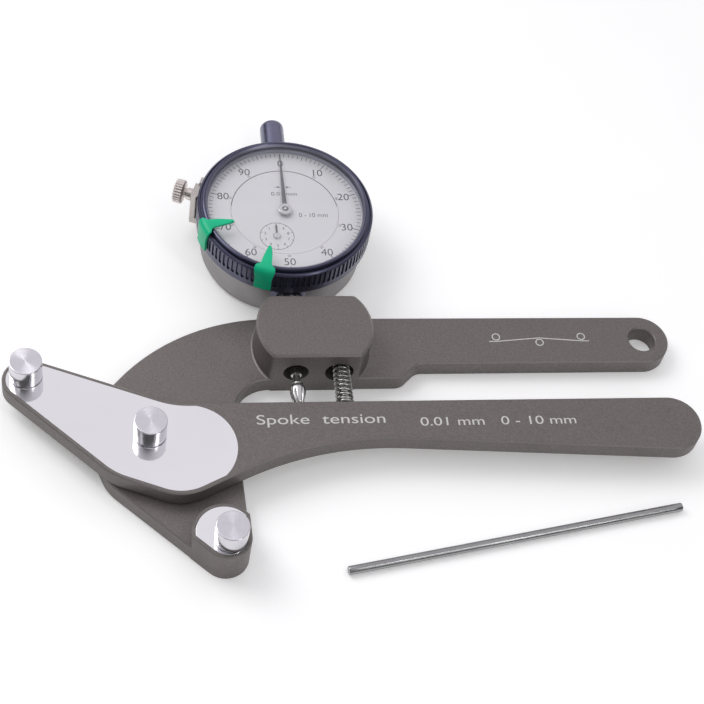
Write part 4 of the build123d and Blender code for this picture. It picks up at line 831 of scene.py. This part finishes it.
def build_pointers(dark, silver):
    """The main pointer with its turned hub and the counter's short pointer, both pointing up."""
    low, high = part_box("main_pointer")
    reach = high.y - dial_centre.y
    bm = bmesh.new()
    half, tip = 0.78 * MM, 0.15 * MM
    ridge = high.z + 0.12 * MM
    base = [bm.verts.new((x, y, low.z)) for x, y in ((-half, 0), (half, 0), (tip, reach), (-tip, reach))]
    crest = [bm.verts.new((0, 0, ridge)), bm.verts.new((0, reach - 0.2 * MM, high.z))]
    bm.faces.new(base)
    bm.faces.new((base[1], base[2], crest[1], crest[0]))
    bm.faces.new((base[3], base[0], crest[0], crest[1]))
    bm.faces.new((base[0], base[1], crest[0]))
    bm.faces.new((base[2], base[3], crest[1]))
    lathe(bm, [(0, low.z), (1.5 * MM, low.z), (1.5 * MM, high.z), (0, high.z)], segments=48)
    pointer = add_piece("pointer_blade", to_mesh("pointer", bm, radians(20)), dark, "pointer")
    move_to(pointer, dial_centre)
    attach(pointer, "pointer")
    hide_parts("main_pointer")
    hub_low, hub_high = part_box("pointer_cap")
    radius = (hub_high.x - hub_low.x) / 2
    rise = hub_high.z
    bm = bmesh.new()
    lathe(bm, [(0, hub_low.z), (radius, hub_low.z), (radius, rise - 0.2 * MM),
               (radius - 0.08 * MM, rise - 0.06 * MM), (radius - 0.25 * MM, rise), (1.05 * MM, rise),
               (0.95 * MM, rise - 0.14 * MM), (0.55 * MM, rise - 0.14 * MM), (0.5 * MM, rise + 0.12 * MM),
               (0.3 * MM, rise + 0.2 * MM), (0, rise + 0.2 * MM)], segments=64)
    hub = add_piece("pointer_hub", to_mesh("hub", bm), silver, "pointer")
    # painted shade: the hub's recess round the centre pip takes the dark pointer paint, standing for the
    # shade in the hollow
    recolour(hub, dark, lambda middle, normal: middle.xy.length < 0.98 * MM and middle.z < rise)
    move_to(hub, dial_centre)
    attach(hub, "pointer")
    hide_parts("pointer_cap")
    low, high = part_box("counter_pointer")
    reach = high.y - counter_centre.y
    bm = bmesh.new()
    root, tip = 0.3 * MM, 0.2 * MM
    prism(bm, [(-root, 0), (root, 0), (tip, reach), (-tip, reach)], low.z, high.z - 0.1 * MM)
    small = add_piece("counter_hand", to_mesh("counter_hand", bm, radians(20)), dark, "counter")
    bm = bmesh.new()
    lathe(bm, [(0, low.z), (1.25 * MM, low.z), (1.25 * MM, high.z - 0.12 * MM), (1.1 * MM, high.z),
               (0.5 * MM, high.z), (0.45 * MM, high.z - 0.15 * MM), (0, high.z - 0.15 * MM)], segments=48)
    lathe(bm, [(0, high.z - 0.15 * MM), (0.22 * MM, high.z - 0.15 * MM), (0.22 * MM, high.z), (0, high.z)],
          segments=16)
    boss = add_piece("counter_hub", to_mesh("counter_hub", bm), silver, "counter")
    for piece in (small, boss):
        move_to(piece, counter_centre)
        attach(piece, "counter")
    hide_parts("counter_pointer")


CLIP_THICKNESS = 0.75 * MM
CLIP_EDGE = 0.2 * MM
CLIP_CROWN = 0.12 * MM
CLIP_COLUMNS = 9
LEAN_FROM = 27.5
LEAN_OVER = 8.5
# radius, height and half width in millimetres, from the strap's foot to the leaf's tip
CLIP_PATH = ((30.0, 16.0, 2.9), (29.9, 17.0, 2.85), (29.87, 18.5, 2.8), (29.87, 20.0, 2.75),
             (29.87, 21.5, 2.9), (29.87, 23.0, 3.2), (29.75, 24.1, 3.35), (29.35, 24.85, 3.4),
             (28.6, 25.3, 3.3), (27.95, 25.42, 2.9), (27.45, 25.47, 2.1), (26.8, 25.5, 1.75),
             (25.8, 25.5, 1.65), (24.4, 25.45, 1.5), (22.8, 25.35, 1.25), (21.2, 25.2, 0.95),
             (20.0, 25.15, 0.65), (19.2, 25.1, 0.42))


def build_clip(name, node, green, lean):
    """A limit clip: a strap bent over the bezel's edge that narrows to a leaf, whose tip leans sideways."""
    low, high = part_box(node)
    middle = (low + high) / 2 - dial_centre
    heading = atan2(middle.y, middle.x)
    bm = bmesh.new()
    faces = ([], [])
    for index, (radius, height, half) in enumerate(CLIP_PATH):
        before, after = CLIP_PATH[max(0, index - 1)], CLIP_PATH[min(len(CLIP_PATH) - 1, index + 1)]
        run = Vector((after[0] - before[0], after[1] - before[1])).normalized()
        inward = Vector((-run.y, run.x))
        sideways = lean * max(0.0, (LEAN_FROM - radius) / LEAN_OVER) ** 1.5
        for layer in (0, 1):
            row = []
            for column in range(CLIP_COLUMNS):
                across = 2 * column / (CLIP_COLUMNS - 1) - 1
                crown = CLIP_CROWN * (1 - across * across) if layer == 0 else 0.0
                shift = inward * (CLIP_THICKNESS * layer - crown)
                here, up = radius * MM + shift.x, height * MM + shift.y
                angle = heading + (across * half * MM + sideways) / here
                row.append(bm.verts.new(dial_centre + Vector((here * cos(angle), here * sin(angle), up))))
            faces[layer].append(row)
    for rows in faces:
        for below, above in zip(rows, rows[1:]):
            for column in range(CLIP_COLUMNS - 1):
                bm.faces.new((below[column], below[column + 1], above[column + 1], above[column]))
    outer, inner = faces
    for rim in (0, -1):
        for index in range(len(outer) - 1):
            after = index + 1
            bm.faces.new((outer[index][rim], outer[after][rim], inner[after][rim], inner[index][rim]))
        for column in range(CLIP_COLUMNS - 1):
            after = column + 1
            bm.faces.new((outer[rim][column], outer[rim][after], inner[rim][after], inner[rim][column]))
    piece = add_piece(name, to_mesh(name, bm), green, nodes[node]["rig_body"], node)
    round_edges(piece, CLIP_EDGE, 3, radians(50))


KNURLS = 30
KNURL_DEPTH = 0.16 * MM
KNURL_FROM = 3.7 * MM
# radius, and distance from the dial's axis, in millimetres
SCREW_PROFILE = ((0, 29.1), (1.5, 29.1), (1.5, 31.8), (2.1, 31.8), (2.1, 33.4), (1.6, 33.6), (1.6, 34.4),
                 (3.2, 34.4), (3.75, 34.65), (4.0, 34.9), (4.0, 37.3), (3.75, 37.6), (3.3, 37.8),
                 (2.6, 37.8), (2.4, 37.65), (1.2, 37.6), (1.0, 37.75), (0, 37.75))


def build_thumb_screw(nickel):
    """The bezel clamp's screw: knurled head with a turned face, collar and shank."""
    axis = Vector(joints["clamp_screw_turn"]["axis"])
    height = joints["clamp_screw_turn"]["pos_m"][2]

    def knurled(radius, along, angle):
        if radius < KNURL_FROM:
            return radius
        return radius - KNURL_DEPTH * abs(sin(KNURLS * angle / 2)) ** 0.7

    start = dial_centre + Vector((0, 0, height))
    bm = bmesh.new()
    profile = [(radius * MM, along * MM) for radius, along in SCREW_PROFILE]
    lathe(bm, profile, placed(start, axis), 180, knurled)
    add_piece("clamp_thumb_screw", to_mesh("thumb_screw", bm), nickel, "thumb_screw", "clamp_screw")


def build_rod(steel):
    """The calibration rod, ground along its length, with rounded ends."""
    low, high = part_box("calibration_rod")
    radius = (high.z - low.z) / 2
    run = Vector((high.x - low.x, high.y - low.y, 0))
    ahead = run.normalized()
    middle = (low + high) / 2
    half = run.length / 2 - radius * ahead.y * 0.9
    edge = 0.35 * MM
    profile = [(0, -half), (radius - edge, -half), (radius - edge * 0.3, -half + edge * 0.3),
               (radius, -half + edge)]
    rings = 40
    for step in range(1, rings):
        profile.append((radius, -half + edge + (2 * half - 2 * edge) * step / rings))
    profile += [(radius, half - edge), (radius - edge * 0.3, half - edge * 0.3), (radius - edge, half),
                (0, half)]
    bm = bmesh.new()
    lathe(bm, profile, placed((0, 0, 0), (0, 0, 1)), 48)
    rod = add_piece("ground_rod", to_mesh("rod", bm), steel, "rod")
    rod.matrix_world = placed(middle, ahead)
    bpy.context.view_layer.update()
    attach(rod, "rod")
    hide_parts("calibration_rod")


# ---------------------------------------------------------------- the scene
FLOOR_HALF = 3.0
FLOOR_GAP = 0.02 * MM
# reach from the dial's axis beyond which the case is painted dark as shade
SWELLING_SHADE_REACH = 27.0 * MM


def lay_floor(paper):
    """A wide sheet just under the tool."""
    bm = bmesh.new()
    bmesh.ops.create_grid(bm, x_segments=8, y_segments=8, size=FLOOR_HALF)
    sheet = bpy.data.meshes.new("floor")
    bm.to_mesh(sheet)
    bm.free()
    sheet.materials.append(paper)
    floor = bpy.data.objects.new("floor", sheet)
    floor.location.z = cad_box[0].z - FLOOR_GAP
    bpy.context.scene.collection.objects.link(floor)


make_camera()
make_world()
for soft_box in SOFT_BOXES:
    area_light(*soft_box)

gunmetal = arm_metal()
mirror_plate = wear_plate_metal()
pin_metal = turned_metal("pin_metal", (0.68, 0.67, 0.71), 0.20, 0.25 * MM, 0.000004, 0.85)
bright = plain_metal("bright_steel", (0.62, 0.61, 0.61), 0.25)
dark_steel = plain_metal("dark_steel", (0.10, 0.10, 0.11), 0.4)
wire_steel = plain_metal("wire_steel", (0.42, 0.41, 0.40), 0.28)
nickel_metal = plain_metal("nickel_metal", (0.68, 0.62, 0.60), 0.30)
bracket_metal = plain_metal("bracket_metal", (0.52, 0.49, 0.47), 0.32)
case_metal = plain_metal("case_metal", (0.30, 0.285, 0.29), 0.42)
brass_metal = plain_metal("brass_metal", (0.72, 0.50, 0.20), 0.3)
bronze_metal = plain_metal("bronze_metal", (0.48, 0.30, 0.15), 0.42)
rod_metal = plain_metal("rod_metal", (0.33, 0.33, 0.335), 0.28, (1.0, 1.0, 0.05))
hub_metal = turned_metal("hub_metal", (0.60, 0.60, 0.61), 0.22, 0.15 * MM, 0.000003)
navy = enamel("navy_paint", (0.070, 0.072, 0.125), 0.36, 0.85)
cap_paint = enamel("cap_paint", (0.145, 0.145, 0.225), 0.30, 0.85)
green = moulded("marker_green", (0.0, 0.52, 0.26), 0.42, 0.1, 0.1)
# painted reflection: a pale lavender enamel that stands for the bright room mirrored in the bezel's inner
# slope and the crystal seat ring
lip_sheen_paint = enamel("lip_sheen_paint", (0.26, 0.26, 0.34), 0.40, 0.8, 0.2)
black = moulded("black_plastic", (0.02, 0.02, 0.025), 0.5)
dark_grey = moulded("pointer_paint", (0.07, 0.07, 0.08), 0.4)
silver_dial = dial_metal()
dial_ink = ink("dial_ink", (0.06, 0.055, 0.06))
pale_dial_ink = ink("pale_dial_ink", (0.09, 0.085, 0.09))
arm_marks = ink("arm_marks", (0.62, 0.61, 0.60))
clear = crystal_clear()

build_arms(gunmetal, mirror_plate, arm_marks)
build_pin("front_tip_pin", "front_anvil", pin_metal)
build_pin("pivot_pin", "middle_anvil", pin_metal)
build_pin("rear_tip_pin", "rear_anvil", pin_metal)
build_return_spring(wire_steel)
build_contact_point(bright)
build_bezel(navy, lip_sheen_paint)
build_scale(dial_ink)
build_dial_print(dial_ink, pale_dial_ink)
build_pointers(dark_grey, hub_metal)
build_clip("marker_clip_1", "limit_marker_1", green, 1.1 * MM)
build_clip("marker_clip_2", "limit_marker_2", green, -0.6 * MM)
build_thumb_screw(nickel_metal)
build_rod(rod_metal)
case_shell = soften("dial_case", "case_shell", case_metal, 0.15 * MM)
# painted shade: the case's faces beyond this reach from the dial's axis, on its swelling under the bezel,
# take the dark navy paint to stand for the bezel's shadow
recolour(case_shell, navy, lambda middle, normal: (middle.xy - dial_centre.xy).length > SWELLING_SHADE_REACH)
soften("back_cover", "case_back", case_metal, 0.15 * MM)
soften("clamp_bracket", "bracket_body", bracket_metal, 0.25 * MM)
soften("spindle_cap", "dust_cap", cap_paint, 0.10 * MM)

# CAD nodes that keep their own shape take these finishes by their slot.
finishes = {
    "bright_steel": bright, "dark_steel": dark_steel, "spring_steel": wire_steel, "case_silver": case_metal,
    "dial_silver": silver_dial, "crystal_clear": clear, "seat_black": black, "brass": brass_metal,
    "bronze": bronze_metal, "hub_silver": hub_metal, "arm_metal": gunmetal, "wear_plate": mirror_plate,
    "pin_chrome": pin_metal, "bezel_navy": navy, "cap_navy": cap_paint, "pointer_dark": dark_grey,
    "marker_green": green, "bracket_steel": bracket_metal, "screw_nickel": nickel_metal,
    "rod_steel": rod_metal,
}
finish_of = {part["node"]: finishes[part["material_slot"]] for part in frame["record"]["subparts"]}
# painted reflection: the crystal seat ring takes the pale lavender enamel in place of its black slot
finish_of["crystal_seat_ring"] = lip_sheen_paint
for part in frame["record"]["subparts"]:
    mesh_data = nodes[part["node"]].data
    mesh_data.materials.clear()
    mesh_data.materials.append(finish_of[part["node"]])

lay_floor(floor_paper())
bpy.context.scene.view_settings.view_transform = "Standard"
